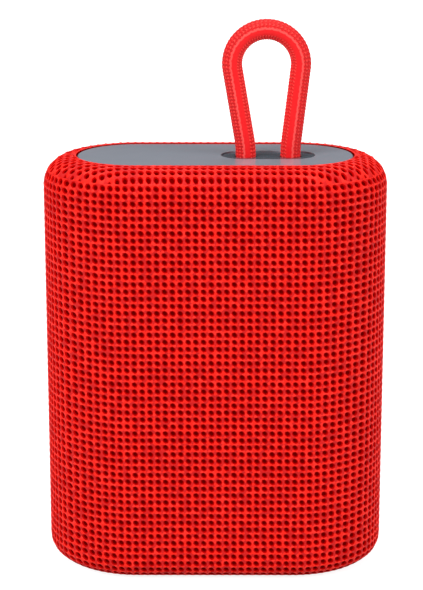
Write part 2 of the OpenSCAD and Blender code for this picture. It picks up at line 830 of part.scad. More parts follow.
module control_panel() {
    bay_mid = (bay_z[0] + bay_z[1]) / 2;
    bay_h = bay_z[1] - bay_z[0];
    color("slategray") difference() {
        union() {
            on_back(panel_back, panel_face) translate([0, panel_z])
                rounded_outline(panel_w, panel_h, panel_corner);
            on_back(bay_floor_y - bay_wall, panel_back + 0.5) translate([0, bay_mid])
                square([2 * (bay_x + bay_wall), bay_h + 2 * bay_wall], center = true);
            for (x = [-1, 1]) on_back(button_board_y[1], panel_back + 0.5)
                translate([x * post_at[0], post_at[1]]) circle(post_r);
        }
        on_back(bay_floor_y, panel_face + over) translate([0, bay_mid])
            square([2 * bay_x, bay_h], center = true);
        on_back(bay_floor_y - 2 * bay_wall, bay_floor_y + over) {
            translate([usb_x, board_top + usb_h / 2])
                rounded_outline(usb_w + 0.3, usb_h + 0.3, 1.6);
            translate([card_x, board_top + 0.95]) square([12.2, 1.7], center = true);
        }
        for (x = button_x) on_back(panel_back - over, panel_face + over)
            translate([x, button_z]) circle(button_r + 0.2);
        on_back(panel_back - over, panel_face + over) {
            translate([-indicator_x, indicator_z]) circle(0.85);
            translate([indicator_x, indicator_z]) circle(0.5);
        }
        for (x = [-1, 1]) on_back(button_board_y[1] - over, button_board_y[1] + 3.6)
            translate([x * post_at[0], post_at[1]]) circle(screw_m2[2] + 0.05);
    }
}

module button_board() {
    color("darkgreen") difference() {
        translate([-20, button_board_y[0], button_board_z[0]]) cube([40,
            button_board_y[1] - button_board_y[0], button_board_z[1] - button_board_z[0]]);
        for (x = [-1, 1]) on_back(button_board_y[0] - over, button_board_y[1] + over)
            translate([x * post_at[0], post_at[1]]) circle(screw_m2[2] + 0.2);
    }
}

module tact_switches() {
    color("dimgray") for (x = button_x) difference() {
        on_back(button_board_y[1], switch_top) translate([x, button_z])
            square([4.6, 4.6], center = true);
        on_back(button_board_y[1] + 0.6, switch_top + over) translate([x, button_z])
            circle(1.15);
    }
}

module status_led() {
    color("ivory") translate([-indicator_x - 0.8, button_board_y[1], indicator_z - 0.5])
        cube([1.6, 0.7, 1]);
}

module light_pipe() {
    color("white") {
        on_back(button_board_y[1] + 0.8, panel_face) translate([-indicator_x, indicator_z])
            circle(0.75);
        on_back(panel_back - 0.9, panel_back - 0.05) translate([-indicator_x, indicator_z])
            circle(1.3);
    }
}

// Capsule on the board with a soft boot up to the hole in the panel
module microphone() {
    color("gray") difference() {
        union() {
            translate([indicator_x - 1.5, button_board_y[1], indicator_z - 1.3])
                cube([3, 1.1, 2.6]);
            on_back(button_board_y[1] + 1, panel_back) translate([indicator_x, indicator_z])
                circle(1.2);
        }
        on_back(button_board_y[1] + 0.5, panel_back + over)
            translate([indicator_x, indicator_z]) circle(0.5);
    }
}

// A cap, the flange that keeps it behind the panel, and a stem into its switch
module button(i) {
    color("darkslategray") translate([button_x[i], 0, button_z]) {
        on_back(panel_back - 0.1, panel_face + button_travel) circle(button_r);
        on_back(panel_back - 0.7, panel_back - 0.1) circle(button_r + 0.5);
        on_back(switch_top + 0.5, panel_back - 0.7) circle(1.5);
        on_back(switch_top - 0.5, switch_top + 0.5) circle(1);
    }
}

// Rubber cover: plate, round edge that it bends about, and the block that seals the bay
module port_cover() {
    color("dimgray") {
        on_back(hinge_y - hinge_r, panel_face) translate([-cover_x, hinge_z])
            square([2 * cover_x, bay_z[1] - 0.2 - hinge_z]);
        translate([-cover_x, hinge_y, hinge_z]) rotate([0, 90, 0])
            cylinder(r = hinge_r, h = 2 * cover_x);
        on_back(bay_floor_y + 0.3, hinge_y - hinge_r) translate([-12, hinge_z + 1.2])
            square([24, bay_z[1] - 1 - hinge_z - 1.2]);
        // Finger lip at the free edge
        on_back(panel_face - 0.3, panel_face + 0.4) translate([-4, bay_z[1] - 1.6])
            square([8, 1]);
    }
}

module port_cover_anchor() {
    color("dimgray") on_back(bay_floor_y, hinge_y - 0.3) translate([-12.5, bay_z[0]])
        square([25, hinge_z - hinge_r - 0.1 - bay_z[0]]);
}

mesh_sleeve();
core_housing();
top_deck();
deck_screws();
top_plate();
loop_cup();
cup_screws();
loop_tails();
loop_ferrules();
carry_loop();
base_plate();
base_screws();
foot_pad();
front_grille();
driver_gasket();
driver_basket();
driver_screws();
driver_surround();
driver_spider();
driver_cone();
dust_cap();
voice_coil();
magnet_washer();
magnet_ring();
magnet_yoke();
driver_terminals();
rear_grille();
radiator_frame();
radiator_surround();
radiator_plate();
electronics_tray();
tray_screws();
wire_grommets();
main_board();
board_screws();
wireless_module();
board_components();
usb_c_port();
card_socket();
wire_sockets();
speaker_wires();
battery_wires();
battery_cell();
battery_tray();
protection_board();
control_panel();
button_board();
ribbon_cable();
tact_switches();
status_led();
light_pipe();
microphone();
button(0);  // power_button
button(1);  // minus_button
button(2);  // play_button
button(3);  // plus_button
button(4);  // mode_button
port_cover();
port_cover_anchor();
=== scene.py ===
"""Looks of a compact portable loudspeaker.

A stretch mesh sleeve with real holes, matt grey plates, a braided carry loop and rubber controls
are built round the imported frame, which gives every place and size.
"""

import json
import logging
import math
from dataclasses import asdict, dataclass, field
from enum import Enum, IntEnum
from functools import cache
from typing import Iterable, Mapping, Sequence

import bmesh
import bpy
import numpy as np
from bpy.types import ID, Material, Node, NodeSocket, NodeTree, Object
from mathutils import Matrix, Vector
from mathutils.geometry import delaunay_2d_cdt
from numpy import ndarray

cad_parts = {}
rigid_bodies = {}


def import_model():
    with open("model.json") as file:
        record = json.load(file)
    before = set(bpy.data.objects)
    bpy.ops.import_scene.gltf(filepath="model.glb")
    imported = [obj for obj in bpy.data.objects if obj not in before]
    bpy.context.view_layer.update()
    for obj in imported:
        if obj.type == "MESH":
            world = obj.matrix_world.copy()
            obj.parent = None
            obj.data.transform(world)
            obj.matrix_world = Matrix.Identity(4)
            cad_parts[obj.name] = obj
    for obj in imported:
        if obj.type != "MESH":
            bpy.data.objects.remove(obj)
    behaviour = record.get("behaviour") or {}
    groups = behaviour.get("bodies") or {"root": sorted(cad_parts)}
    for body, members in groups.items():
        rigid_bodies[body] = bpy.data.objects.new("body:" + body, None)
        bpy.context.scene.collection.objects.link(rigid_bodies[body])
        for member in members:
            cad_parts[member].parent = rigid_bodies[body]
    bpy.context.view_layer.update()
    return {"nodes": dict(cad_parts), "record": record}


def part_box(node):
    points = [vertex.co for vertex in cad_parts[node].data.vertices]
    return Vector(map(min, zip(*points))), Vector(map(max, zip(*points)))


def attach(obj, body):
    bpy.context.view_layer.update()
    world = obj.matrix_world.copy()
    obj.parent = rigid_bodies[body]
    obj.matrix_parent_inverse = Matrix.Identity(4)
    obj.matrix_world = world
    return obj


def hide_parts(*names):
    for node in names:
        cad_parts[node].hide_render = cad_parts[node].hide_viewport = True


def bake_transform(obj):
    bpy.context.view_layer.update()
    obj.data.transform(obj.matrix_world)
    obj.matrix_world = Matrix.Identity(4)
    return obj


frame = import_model()

MM = 0.001
BODY = "speaker_body"
LOOP = "carry_loop"
SLOTS = {s["node"]: s["material_slot"] for s in frame["record"]["subparts"]}
NODE_OBJECTS = {name: item.name for name, item in frame["nodes"].items()}
# Steps from the middle of a mesh cell to the eight points round it
RING = ((-1, -1), (0, -1), (1, -1), (1, 0), (1, 1), (0, 1), (-1, 1), (-1, 0))
Point = tuple[float, float]
# Edges that turn by more than this are rounded by the mould
HARD_EDGE = math.radians(40)
# Edges that turn by more than this are shaded as creases
CREASE = math.radians(30)
log = logging.getLogger("loudspeaker")


# ---- Shared helpers ----


def linear(colour: str) -> tuple[float, float, float, float]:
    """Turn an sRGB hex colour into the linear RGBA that the shaders take.

    Args:
        colour: Six hex digits, such as "8c9096".

    Returns:
        Linear red, green, blue and an alpha of 1.
    """
    parts = [int(colour[i : i + 2], 16) / 255 for i in (0, 2, 4)]
    red, green, blue = [p / 12.92 if p <= 0.04045 else ((p + 0.055) / 1.055) ** 2.4 for p in parts]
    return red, green, blue, 1.0


WHITE = linear("ffffff")


def add_node(
    tree: NodeTree,
    kind: str,
    settings: Mapping[str | int, object] | None = None,
    links: Mapping[str | int, NodeSocket] | None = None,
) -> Node:
    """Add a shader node with its settings and links.

    Args:
        tree: Node tree that gets the node.
        kind: Node type, such as "ShaderNodeTexNoise".
        settings: Properties by name, and input values by name or number.
        links: Output sockets to join to inputs, by name or number.

    Returns:
        The new node.
    """
    made = tree.nodes.new(kind)
    for key, value in (settings or {}).items():
        if isinstance(key, str) and hasattr(made, key):
            setattr(made, key, value)
        else:
            made.inputs[key].default_value = value
    for key, socket in (links or {}).items():
        tree.links.new(socket, made.inputs[key])
    return made


def put(name: str, data: ID) -> Object:
    """Put an object in the scene.

    Args:
        name: Name of the object.
        data: Its mesh, light or camera.

    Returns:
        The new object.
    """
    made = bpy.data.objects.new(name, data)
    bpy.context.scene.collection.objects.link(made)
    return made


def mesh_object(
    name: str,
    vertices: Sequence[Sequence[float]] | ndarray,
    faces: Sequence[Sequence[int]],
    materials: Sequence[Material],
    face_slots: Sequence[int] | None = None,
    smooth: bool | Sequence[bool] = True,
) -> Object:
    """Make a mesh object in the row frame.

    Args:
        name: Name of the object and its mesh.
        vertices: Points in metres.
        faces: Vertex indices of each face.
        materials: The object's material slots.
        face_slots: Material slot of each face, or None for the first.
        smooth: Smooth shading for all faces, or one value a face.

    Returns:
        The new object.
    """
    mesh = bpy.data.meshes.new(name)
    mesh.from_pydata([tuple(v) for v in vertices], [], [tuple(f) for f in faces])
    count = len(mesh.polygons)
    shading = [smooth] * count if isinstance(smooth, bool) else list(smooth)
    mesh.polygons.foreach_set("use_smooth", shading)
    for material in materials:
        mesh.materials.append(material)
    if face_slots is not None:
        mesh.polygons.foreach_set("material_index", list(face_slots))
    mesh.update()
    return put(name, mesh)


def apply_modifiers(piece: Object) -> None:
    """Replace a piece's mesh by the result of its modifiers.

    Args:
        piece: Object whose modifiers are applied and removed.
    """
    graph = bpy.context.evaluated_depsgraph_get()
    result = bpy.data.meshes.new_from_object(
        piece.evaluated_get(graph), preserve_all_data_layers=True, depsgraph=graph
    )
    piece.modifiers.clear()
    old = piece.data
    piece.data = result
    bpy.data.meshes.remove(old)


def rounded_rectangle(width: float, height: float, radius: float, steps: int = 8) -> list[Point]:
    """Outline of a rectangle with round corners, centred on the origin.

    Args:
        width: Full width.
        height: Full height.
        radius: Corner radius.
        steps: Segments in each corner.

    Returns:
        Points in counter-clockwise order.
    """
    points = []
    for quarter, (sx, sy) in enumerate(((1, 1), (-1, 1), (-1, -1), (1, -1))):
        x, y = sx * (width / 2 - radius), sy * (height / 2 - radius)
        for angle in math.pi / 2 * (quarter + np.linspace(0, 1, steps + 1)):
            points.append((x + radius * math.cos(angle), y + radius * math.sin(angle)))
    return points


def prism(
    name: str,
    outline: Sequence[Point],
    y_low: float,
    y_high: float,
    material: Material | None = None,
    centre: Point = (0.0, 0.0),
) -> Object:
    """Closed prism along Y from an outline in X and Z.

    Args:
        name: Name of the object.
        outline: Points round it, in X and Z.
        y_low: Front end.
        y_high: Back end.
        material: Material, or None for a cutter.
        centre: X and Z that the outline is moved to.

    Returns:
        The new object.
    """
    n = len(outline)
    points = [(centre[0] + x, y, centre[1] + z) for y in (y_low, y_high) for x, z in outline]
    sides = [(i, (i + 1) % n, n + (i + 1) % n, n + i) for i in range(n)]
    faces = [*sides, range(n), range(n, 2 * n)]
    made = mesh_object(name, points, faces, [material] if material else [], smooth=False)
    outward(made)
    return made


def outward(piece: Object) -> None:
    """Turn every face of a closed piece to face outwards.

    Args:
        piece: Mesh object that is changed.
    """
    work = bmesh.new()
    work.from_mesh(piece.data)
    bmesh.ops.recalc_face_normals(work, faces=work.faces)
    work.to_mesh(piece.data)
    work.free()


def lathe(
    name: str,
    profile: Sequence[Point],
    centre: Point,
    material: Material,
    sides: int = 64,
) -> Object:
    """Solid of revolution about an axis along Y.

    Args:
        name: Name of the object.
        profile: Radius and Y of each point, from axis to axis.
        centre: X and Z of the axis.
        material: Material of the solid.
        sides: Segments round the axis.

    Returns:
        The new object.
    """
    points, rings, faces = [], [], []
    for radius, y in profile:
        first = len(points)
        on_axis = radius < 0.001 * MM
        for side in range(1 if on_axis else sides):
            angle = 2 * math.pi * side / sides
            x, z = radius * math.cos(angle), radius * math.sin(angle)
            points.append((centre[0] + x, y, centre[1] + z))
        rings.append([first] * sides if on_axis else range(first, first + sides))
    for low, high in zip(rings, rings[1:]):
        for side in range(sides):
            after = (side + 1) % sides
            face = (low[side], low[after], high[after], high[side])
            faces.append(tuple(dict.fromkeys(face)))
    made = mesh_object(name, points, faces, [material])
    outward(made)
    made.data.set_sharp_from_angle(angle=HARD_EDGE)
    return made


def soften(node: str, piece_name: str, radius: float, body: str = BODY) -> Object:
    """Copy a machined node with its hard edges rounded as a mould leaves them.

    Args:
        node: CAD node that the copy stands for.
        piece_name: Name of the copy.
        radius: Radius of the edges.
        body: Body that the copy rides on.

    Returns:
        The rounded copy.
    """
    mesh = bpy.data.objects[NODE_OBJECTS[node]].data.copy()
    mesh.name = piece_name
    work = bmesh.new()
    work.from_mesh(mesh)
    bmesh.ops.remove_doubles(work, verts=work.verts, dist=0.002 * MM)
    bmesh.ops.dissolve_limit(work, angle_limit=math.radians(1), verts=work.verts, edges=work.edges)
    hard = [e for e in work.edges if len(e.link_faces) == 2 and e.calc_face_angle(0) > HARD_EDGE]
    bmesh.ops.bevel(
        work, geom=hard, offset=radius, offset_type="OFFSET", segments=3,
        profile=0.5, affect="EDGES", clamp_overlap=True,
    )
    bmesh.ops.dissolve_degenerate(work, dist=0.001 * MM, edges=work.edges)
    bmesh.ops.triangulate(work, faces=[f for f in work.faces if len(f.verts) > 4])
    work.to_mesh(mesh)
    work.free()
    mesh.polygons.foreach_set("use_smooth", [True] * len(mesh.polygons))
    mesh.set_sharp_from_angle(angle=CREASE)
    made = put(piece_name, mesh)
    # Flat faces keep flat shading up to the rounded edge
    made.modifiers.new("even_shading", "WEIGHTED_NORMAL").keep_sharp = True
    apply_modifiers(made)
    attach(made, body)
    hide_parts(node)
    return made


# ---- Finishes ----


class Recipe:
    """A material in the making: one Principled shader, fed from the object's own coordinates."""

    def __init__(self, finish: "Finish") -> None:
        """Start the material of a finish.

        Args:
            finish: Gives the material's name and its plain colour.
        """
        self.material = bpy.data.materials.new(finish.name)
        self.material.use_nodes = True
        self.material.diffuse_color = linear(finish.colour)
        self.tree = self.material.node_tree
        self.shader = self.tree.nodes["Principled BSDF"]
        self.place = add_node(self.tree, "ShaderNodeTexCoord").outputs["Object"]

    def noise(self, size: float, detail: float = 2.0, roughness: float = 0.5) -> NodeSocket:
        """Noise whose patches have a real size."""
        settings = {"Scale": 1 / size, "Detail": detail, "Roughness": roughness}
        return self.node("TexNoise", settings, {"Vector": self.place}).outputs["Fac"]

    def node(self, kind: str, settings: dict, links: dict) -> Node:
        """Add a shader node to the material."""
        return add_node(self.tree, "ShaderNode" + kind, settings, links)

    def shade(self, factor: NodeSocket, first: str, second: str) -> None:
        """Mix the colour from two hex shades."""
        settings = {"data_type": "RGBA", 6: linear(first), 7: linear(second)}
        self.feed("Base Color", self.node("Mix", settings, {"Factor": factor}).outputs[2])

    def rough(self, factor: NodeSocket, low: float, high: float) -> None:
        """Spread the roughness between two values."""
        spread = self.node("MapRange", {"To Min": low, "To Max": high}, {"Value": factor})
        self.feed("Roughness", spread.outputs["Result"])

    def bump(self, height: NodeSocket, strength: float, distance: float) -> None:
        """Raise a relief of a real height."""
        settings = {"Strength": strength, "Distance": distance}
        self.feed("Normal", self.node("Bump", settings, {"Height": height}).outputs["Normal"])

    def feed(self, name: str, source: NodeSocket) -> None:
        """Join a socket to an input of the shader."""
        self.tree.links.new(source, self.shader.inputs[name])

    def fix(self, values: Mapping[str, object]) -> None:
        """Set constant inputs of the shader."""
        for name, value in values.items():
            self.shader.inputs[name].default_value = value


@dataclass(frozen=True)
class Finish:
    """What every finish has."""

    name: str
    colour: str


@dataclass(frozen=True)
class Yarn(Finish):
    """Textured filament polyester yarn: a saturated dye under a soft, broken sheen.

    The knit and braid are real geometry, and each shade, painted shade and highlight too, has its
    own material.
    """

    roughness: float = 0.5
    specular: float = 0.25
    # A filament is 0.02 mm thick, drawn as bundles that are coarse enough to see
    bundle: float = 0.2 * MM

    def material(self) -> Material:
        """Build the yarn's material, with its filaments as patches of sheen.

        Returns:
            The material.
        """
        recipe = Recipe(self)
        recipe.rough(recipe.noise(self.bundle), self.roughness * 0.75, self.roughness * 1.25)
        recipe.fix({"Base Color": linear(self.colour), "Specular IOR Level": self.specular})
        return recipe.material


@dataclass(frozen=True)
class Moulded(Finish):
    """Injection-moulded part from a spark-eroded tool: fine even grain, slightly satin."""

    second: str
    roughness: float
    grain: float = 0.22 * MM
    relief: float = 0.006 * MM
    ior: float = 1.5
    mottle: float = 6 * MM

    def material(self) -> Material:
        """Build the moulded material from a mottle for colour and a grain for relief.

        Returns:
            The material.
        """
        recipe = Recipe(self)
        grain = recipe.noise(self.grain)
        recipe.shade(recipe.noise(self.mottle, 3.0, 0.55), self.colour, self.second)
        recipe.rough(grain, self.roughness * 0.86, self.roughness * 1.14)
        recipe.bump(grain, 0.5, self.relief)
        recipe.fix({"IOR": self.ior})
        return recipe.material


@dataclass(frozen=True)
class Streaked(Finish):
    """Rolled, drawn or foil metal: streaks along one axis in shade and roughness."""

    second: str
    roughness: float
    streak: float = 0.15 * MM
    stretch: float = 12.0

    def material(self) -> Material:
        """Build the metal from noise that is stretched along X.

        Returns:
            The material.
        """
        recipe = Recipe(self)
        scale = {"Scale": (1 / self.stretch, 1.0, 1.0)}
        recipe.place = recipe.node("Mapping", scale, {"Vector": recipe.place}).outputs["Vector"]
        streaks = recipe.noise(self.streak, 4.0)
        recipe.shade(streaks, self.colour, self.second)
        recipe.rough(streaks, self.roughness * 0.75, self.roughness * 1.25)
        recipe.fix({"Metallic": 1.0})
        return recipe.material


@dataclass(frozen=True)
class Woven(Finish):
    """Cloth whose threads cross at right angles, such as a resin-dipped suspension."""

    second: str
    thread: float = 0.4 * MM
    relief: float = 0.05 * MM
    roughness: float = 0.8

    def material(self) -> Material:
        """Build the cloth from two crossing sets of bands, 0.314 wide at a scale of 1.

        Returns:
            The material.
        """
        recipe = Recipe(self)
        bands = []
        for way in ("X", "Z"):
            settings = {"bands_direction": way, "Scale": 0.314 / self.thread, "Distortion": 0.4}
            bands.append(recipe.node("TexWave", settings, {"Vector": recipe.place}))
        tops = {number: band.outputs["Fac"] for number, band in enumerate(bands)}
        crossing = recipe.node("Math", {"operation": "MAXIMUM"}, tops).outputs["Value"]
        recipe.shade(crossing, self.second, self.colour)
        recipe.bump(crossing, 0.6, self.relief)
        recipe.fix({"Roughness": self.roughness})
        return recipe.material


@dataclass(frozen=True)
class ClearAcrylic(Finish):
    """Clear moulded acrylic that carries an indicator's light to the panel."""

    flow_mark: float = 0.5 * MM

    def material(self) -> Material:
        """Build the clear material with faint flow marks in its roughness.

        Returns:
            The material.
        """
        recipe = Recipe(self)
        recipe.rough(recipe.noise(self.flow_mark), 0.08, 0.2)
        recipe.fix({"Base Color": linear(self.colour), "Transmission Weight": 0.7, "IOR": 1.49})
        return recipe.material


class Shade(Enum):
    """The finishes by the record's material slot."""

    grey_plate = Moulded("abs_fine_spark_grey", "90959f", "8b909a", 0.16, ior=1.58)
    cup_grey = Moulded("abs_cup_dark_grey", "505861", "4c545d", 0.12, ior=1.58)
    panel_grey = Moulded("abs_panel_grey", "8b9097", "858a91", 0.38)
    base_abs = Moulded("abs_base_grey", "767b82", "70757c", 0.45)
    black_abs = Moulded("abs_black", "1b1c1f", "202124", 0.5)
    button_rubber = Moulded("silicone_button", "55595f", "4f5358", 0.55, grain=0.3 * MM)
    cover_rubber = Moulded("elastomer_cover", "6b7077", "656a70", 0.6, grain=0.3 * MM)
    soft_rubber = Moulded("rubber_black", "161617", "1d1d1e", 0.7, grain=0.35 * MM)
    basket_steel = Moulded("painted_steel_black", "17181a", "1b1c1e", 0.35)
    ferrite = Moulded("sintered_ferrite", "2c2d30", "35363a", 0.6, relief=0.02 * MM)
    cone_pulp = Moulded("pressed_pulp_black", "1f1f20", "2b2b2c", 0.85, relief=0.03 * MM)
    circuit_board = Moulded("solder_mask_green", "12522f", "0d4527", 0.3, mottle=2 * MM)
    chip_epoxy = Moulded("moulded_epoxy_black", "202022", "28282b", 0.5)
    socket_nylon = Moulded("nylon_ivory", "d9d3bd", "cfc9b2", 0.45)
    wire_pvc = Moulded("pvc_insulation_red", "a3161a", "8f1216", 0.4)
    screw_steel = Streaked("zinc_plated_screw", "b4b6b8", "9fa1a4", 0.32)
    zinc_steel = Streaked("zinc_plated_steel", "b9bbbd", "a2a5a8", 0.35)
    connector_steel = Streaked("nickel_plated_shell", "c6c3bd", "b3b0aa", 0.25)
    ferrule_aluminium = Streaked("crimped_aluminium", "c9cbce", "b6b8bb", 0.35)
    coil_copper = Streaked("enamelled_copper", "c4733a", "a85c2b", 0.3, streak=0.1 * MM)
    cell_foil = Streaked("pouch_foil", "c8cacc", "b2b4b7", 0.3, streak=1.5 * MM, stretch=3.0)
    spider_cloth = Woven("resin_dipped_cotton", "c79a4b", "8f6a2c")
    clear_pipe = ClearAcrylic("clear_acrylic", "eef4f8")


class RedYarn(Enum):
    """The shades of yarn in the sleeve and the cord."""

    # Among these shades are painted shade and painted highlight on the yarn
    sleeve_plain = Yarn("polyester_mesh_red", "f62014")
    # The light and deep shades are partly random tone and partly painted highlight and painted shade
    # on the knit
    sleeve_light = Yarn("polyester_mesh_red_tone_and_highlight", "ff2c22")
    sleeve_deep = Yarn("polyester_mesh_red_tone_and_shade", "d21817")
    # The hole walls are the yarn in painted shade. The hole floors stand for the darker backing
    # under painted shade, and the same dark red paints the shadow in the folds at the hems
    hole_wall = Yarn("polyester_mesh_wall_in_shade", "b40505", specular=0.0)
    hole_floor = Yarn("polyester_mesh_shade_in_holes_and_folds", "6c0000", specular=0.0)
    strand_left = Yarn("braid_strand_left", "f22024")
    strand_right = Yarn("braid_strand_right", "e42024")
    # The crest shade is a painted highlight on the braid's ridges, and the gap shade a painted
    # shadow between its strands
    strand_crest = Yarn("braid_painted_crest_highlight", "f84e46")
    strand_gap = Yarn("braid_painted_gap_shadow", "ce2222")
    tracer = Yarn("braid_tracer", "f85450")


# In the order of each piece's material slots
SLEEVE_YARNS = list(RedYarn)[:5]
CORD_YARNS = list(RedYarn)[5:]


@cache
def material_of(finish: Enum) -> Material:
    """Material of a finish, built the first time it is asked for."""
    return finish.value.material()


def dress_nodes() -> int:
    """Give every CAD node the finish of its material slot.

    Returns:
        How many nodes were dressed.
    """
    reds = {"red_cord": RedYarn.strand_left, "red_mesh": RedYarn.sleeve_plain}
    for node, item in frame["nodes"].items():
        slot = SLOTS[node]
        item.data.materials.clear()
        item.data.materials.append(material_of(reds[slot] if slot in reds else Shade[slot]))
    return len(frame["nodes"])


# ---- Mesh sleeve ----


@dataclass
class Sheet:
    """Gathers the points and faces of one closed sheet."""

    points: list[ndarray] = field(default_factory=list)
    faces: list[tuple[int, ...]] = field(default_factory=list)
    slots: list[int] = field(default_factory=list)
    smooth: list[bool] = field(default_factory=list)
    count: int = 0

    def add(self, points: ndarray) -> ndarray:
        """Add points.

        Args:
            points: Any layout of points.

        Returns:
            Their indices in the same layout.
        """
        first = self.count
        self.points.append(points.reshape(-1, 3))
        self.count += len(self.points[-1])
        return np.arange(first, self.count).reshape(points.shape[:-1])

    def face(self, corners: Iterable[int], slot: int, smooth: bool = True) -> None:
        """Add a face.

        Args:
            corners: Indices of its points.
            slot: Its material slot.
            smooth: Whether it is shaded smooth.
        """
        self.faces.append(tuple(int(c) for c in corners))
        self.slots.append(int(slot))
        self.smooth.append(smooth)

    def pit(self, rim: Sequence[int], floor: Sequence[int], wall: int, ground: int) -> None:
        """Close a hole with its wall and its floor.

        Args:
            rim: Indices round the mouth, counter-clockwise from outside.
            floor: Indices round the floor, in the same order.
            wall: Slot of the wall.
            ground: Slot of the floor.
        """
        for k in range(len(rim)):
            k2 = (k + 1) % len(rim)
            self.face((rim[k], rim[k2], floor[k2], floor[k]), wall)
        self.face(floor, ground)


class MeshSlot(IntEnum):
    """Material slots of the sleeve, in order."""

    PLAIN = 0
    # The second and third slots are partly random tone and partly painted highlight and shade
    LIGHT = 1
    DEEP = 2
    # The last two slots paint shade in the holes and in the folds
    WALL = 3
    FLOOR = 4


@dataclass
class MeshSleeve:
    """Stretch mesh in two halves, each a closed sheet of yarn with a pit for every hole.

    The sides are knitted in rows and columns. Over the top edge the mesh is laid flat, so its
    rows and columns run straight on across the rounded ends.
    """

    edge_radius: float = 8 * MM
    low_edge_radius: float = 5.4 * MM
    hem_inset: float = 9.1 * MM
    hem_round: float = 0.5 * MM
    hem_depth: float = 1.7 * MM
    thickness: float = 0.85 * MM
    pitch: float = 2.035 * MM
    columns_front: int = 20
    columns_side: int = 8
    row_pitch: float = 1.953 * MM
    row_start: float = 67.23 * MM
    rows_down: int = 33
    rows_up: int = 22
    # The rows end, and the top layer starts, where the edge has turned in by this share
    last_row: float = 0.8
    # Past this length beyond the start of each hem's turn, the hem's row is painted in shadow as a
    # fold
    fold: float = 0.4 * MM
    hole_wide: float = 0.81
    hole_tall: float = 0.84
    floor_size: float = 0.66
    hole_depth: float = 0.5 * MM
    crown: float = 0.16 * MM
    # How far the drawn-in and the drawn-out corners of a hole reach
    corners: Point = (0.60, 0.80)
    # A hole cut by the edge of the top layer is this small, and whole a little further in
    half_shut: float = 0.55
    whole_after: float = 1.1 * MM
    over_edge: Point = (0.25 * MM, 0.3 * MM)
    jitter: float = 0.008
    spread: float = 0.025
    margin: float = 0.1 * MM
    # Shares of plain, light and deep yarn in the bridges between holes and in the ribs
    # The light and deep yarns are partly random tone and partly painted highlight and painted shade
    bridge_shares: tuple[float, float, float] = (0.52, 0.26, 0.22)
    rib_shares: tuple[float, float, float] = (0.42, 0.08, 0.50)
    # Half the cells of the top layer's grid along X and along Y, and the size of its table of shades
    top_cells: tuple[int, int] = (30, 14)
    top_table: tuple[int, int] = (64, 64)
    window_gap: float = 0.3 * MM
    window_corner: float = 8.3 * MM
    # Radius of the round ends, half length of the flat front, middle and half of the height
    end_radius: float = field(init=False)
    straight: float = field(init=False)
    mid: float = field(init=False)
    half_height: float = field(init=False)
    rng: np.random.Generator = field(init=False)

    def __post_init__(self) -> None:
        """Take the sleeve's box from the frame and seed the small differences."""
        low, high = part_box("mesh_sleeve")
        self.end_radius = (high.y - low.y) / 2
        self.straight = (high.x - low.x) / 2 - self.end_radius
        self.mid, self.half_height = (high.z + low.z) / 2, (high.z - low.z) / 2
        self.rng = np.random.default_rng(11)

    def wall(self, radius: float | ndarray) -> float | ndarray:
        """Length from mid height to where an edge of some radius starts."""
        return self.half_height - radius

    def flat_end(self, radius: float | ndarray) -> float | ndarray:
        """Length from mid height to where the hem starts to turn."""
        return self.wall(radius) + math.pi / 2 * radius + self.hem_inset - self.hem_round - radius

    def reach(self, radius: float) -> float:
        """Length from mid height to the foot of a hem."""
        return self.flat_end(radius) + (math.pi / 2 - 1) * self.hem_round + self.hem_depth

    def profile(self, along: ndarray) -> tuple[ndarray, ndarray, ndarray]:
        """Follow the sleeve's section from one hem to the other.

        Args:
            along: Lengths along the section, 0 at mid height and positive upwards.

        Returns:
            Inset from the outline, height above mid height, and tilt of the surface normal.
        """
        side = np.sign(along)
        t = np.abs(along)
        r, rho = np.where(along < 0, self.low_edge_radius, self.edge_radius), self.hem_round
        wall, flat_end = self.wall(r), self.flat_end(r)
        bend = np.clip((t - wall) / r, 0, math.pi / 2)
        flat = np.clip(t - wall - r * math.pi / 2, 0, self.hem_inset - rho - r)
        turn = np.clip((t - flat_end) / rho, 0, math.pi / 2)
        drop = np.maximum(t - flat_end - rho * math.pi / 2, 0)
        inset = r * (1 - np.cos(bend)) + flat + rho * np.sin(turn)
        height = np.minimum(t, wall) + r * np.sin(bend) - rho * (1 - np.cos(turn)) - drop
        return inset, side * height, side * (bend + turn)

    def place(self, across: ndarray, along: ndarray, lift: ndarray) -> ndarray:
        """Put points of the flat pattern on the front half of the body.

        Args:
            across: Lengths round the outline, 0 at the middle of the front.
            along: Lengths along the section, as in profile.
            lift: Heights above the surface.

        Returns:
            Points in the row frame.
        """
        inset, height, tilt = self.profile(along)
        flat = np.clip(across, -self.straight, self.straight)
        turn = (across - flat) / self.end_radius
        out = np.stack([np.sin(turn), -np.cos(turn)], axis=-1)
        radius = (self.end_radius - inset + lift * np.cos(tilt))[..., None]
        ground = out * radius
        ground[..., 0] += flat
        z = self.mid + height + lift * np.sin(tilt)
        return np.concatenate([ground, z[..., None]], axis=-1)

    def from_above(self, plan: ndarray) -> tuple[ndarray, ndarray]:
        """Find the pattern's place under points seen from above, on the upper edge.

        Args:
            plan: X and Y of each point.

        Returns:
            Lengths across and along the pattern.
        """
        x, y = plan[..., 0], plan[..., 1]
        flat = np.clip(x, -self.straight, self.straight)
        inset = self.end_radius - np.hypot(x - flat, y)
        across = flat + self.end_radius * np.arctan2(x - flat, -y)
        r = self.edge_radius
        bend = np.arccos(np.clip(1 - inset / r, 0, 1))
        return across, self.wall(r) + r * bend + np.maximum(inset - r, 0)

    def columns(self) -> ndarray:
        """Find where the columns meet, pulled wide where the body turns.

        Returns:
            Lengths round the outline.
        """
        x = self.pitch * np.arange(self.columns_front + 1)
        turn = np.arcsin(np.clip(x - self.straight, 0, None) / self.end_radius)
        front = np.minimum(x, self.straight) + self.end_radius * turn
        y = self.pitch * np.arange(self.columns_side - 1, -1, -1)
        side = self.straight + self.end_radius * np.arccos(y / self.end_radius)
        quarter = np.concatenate([front, side])
        return np.concatenate([-quarter[:0:-1], quarter])

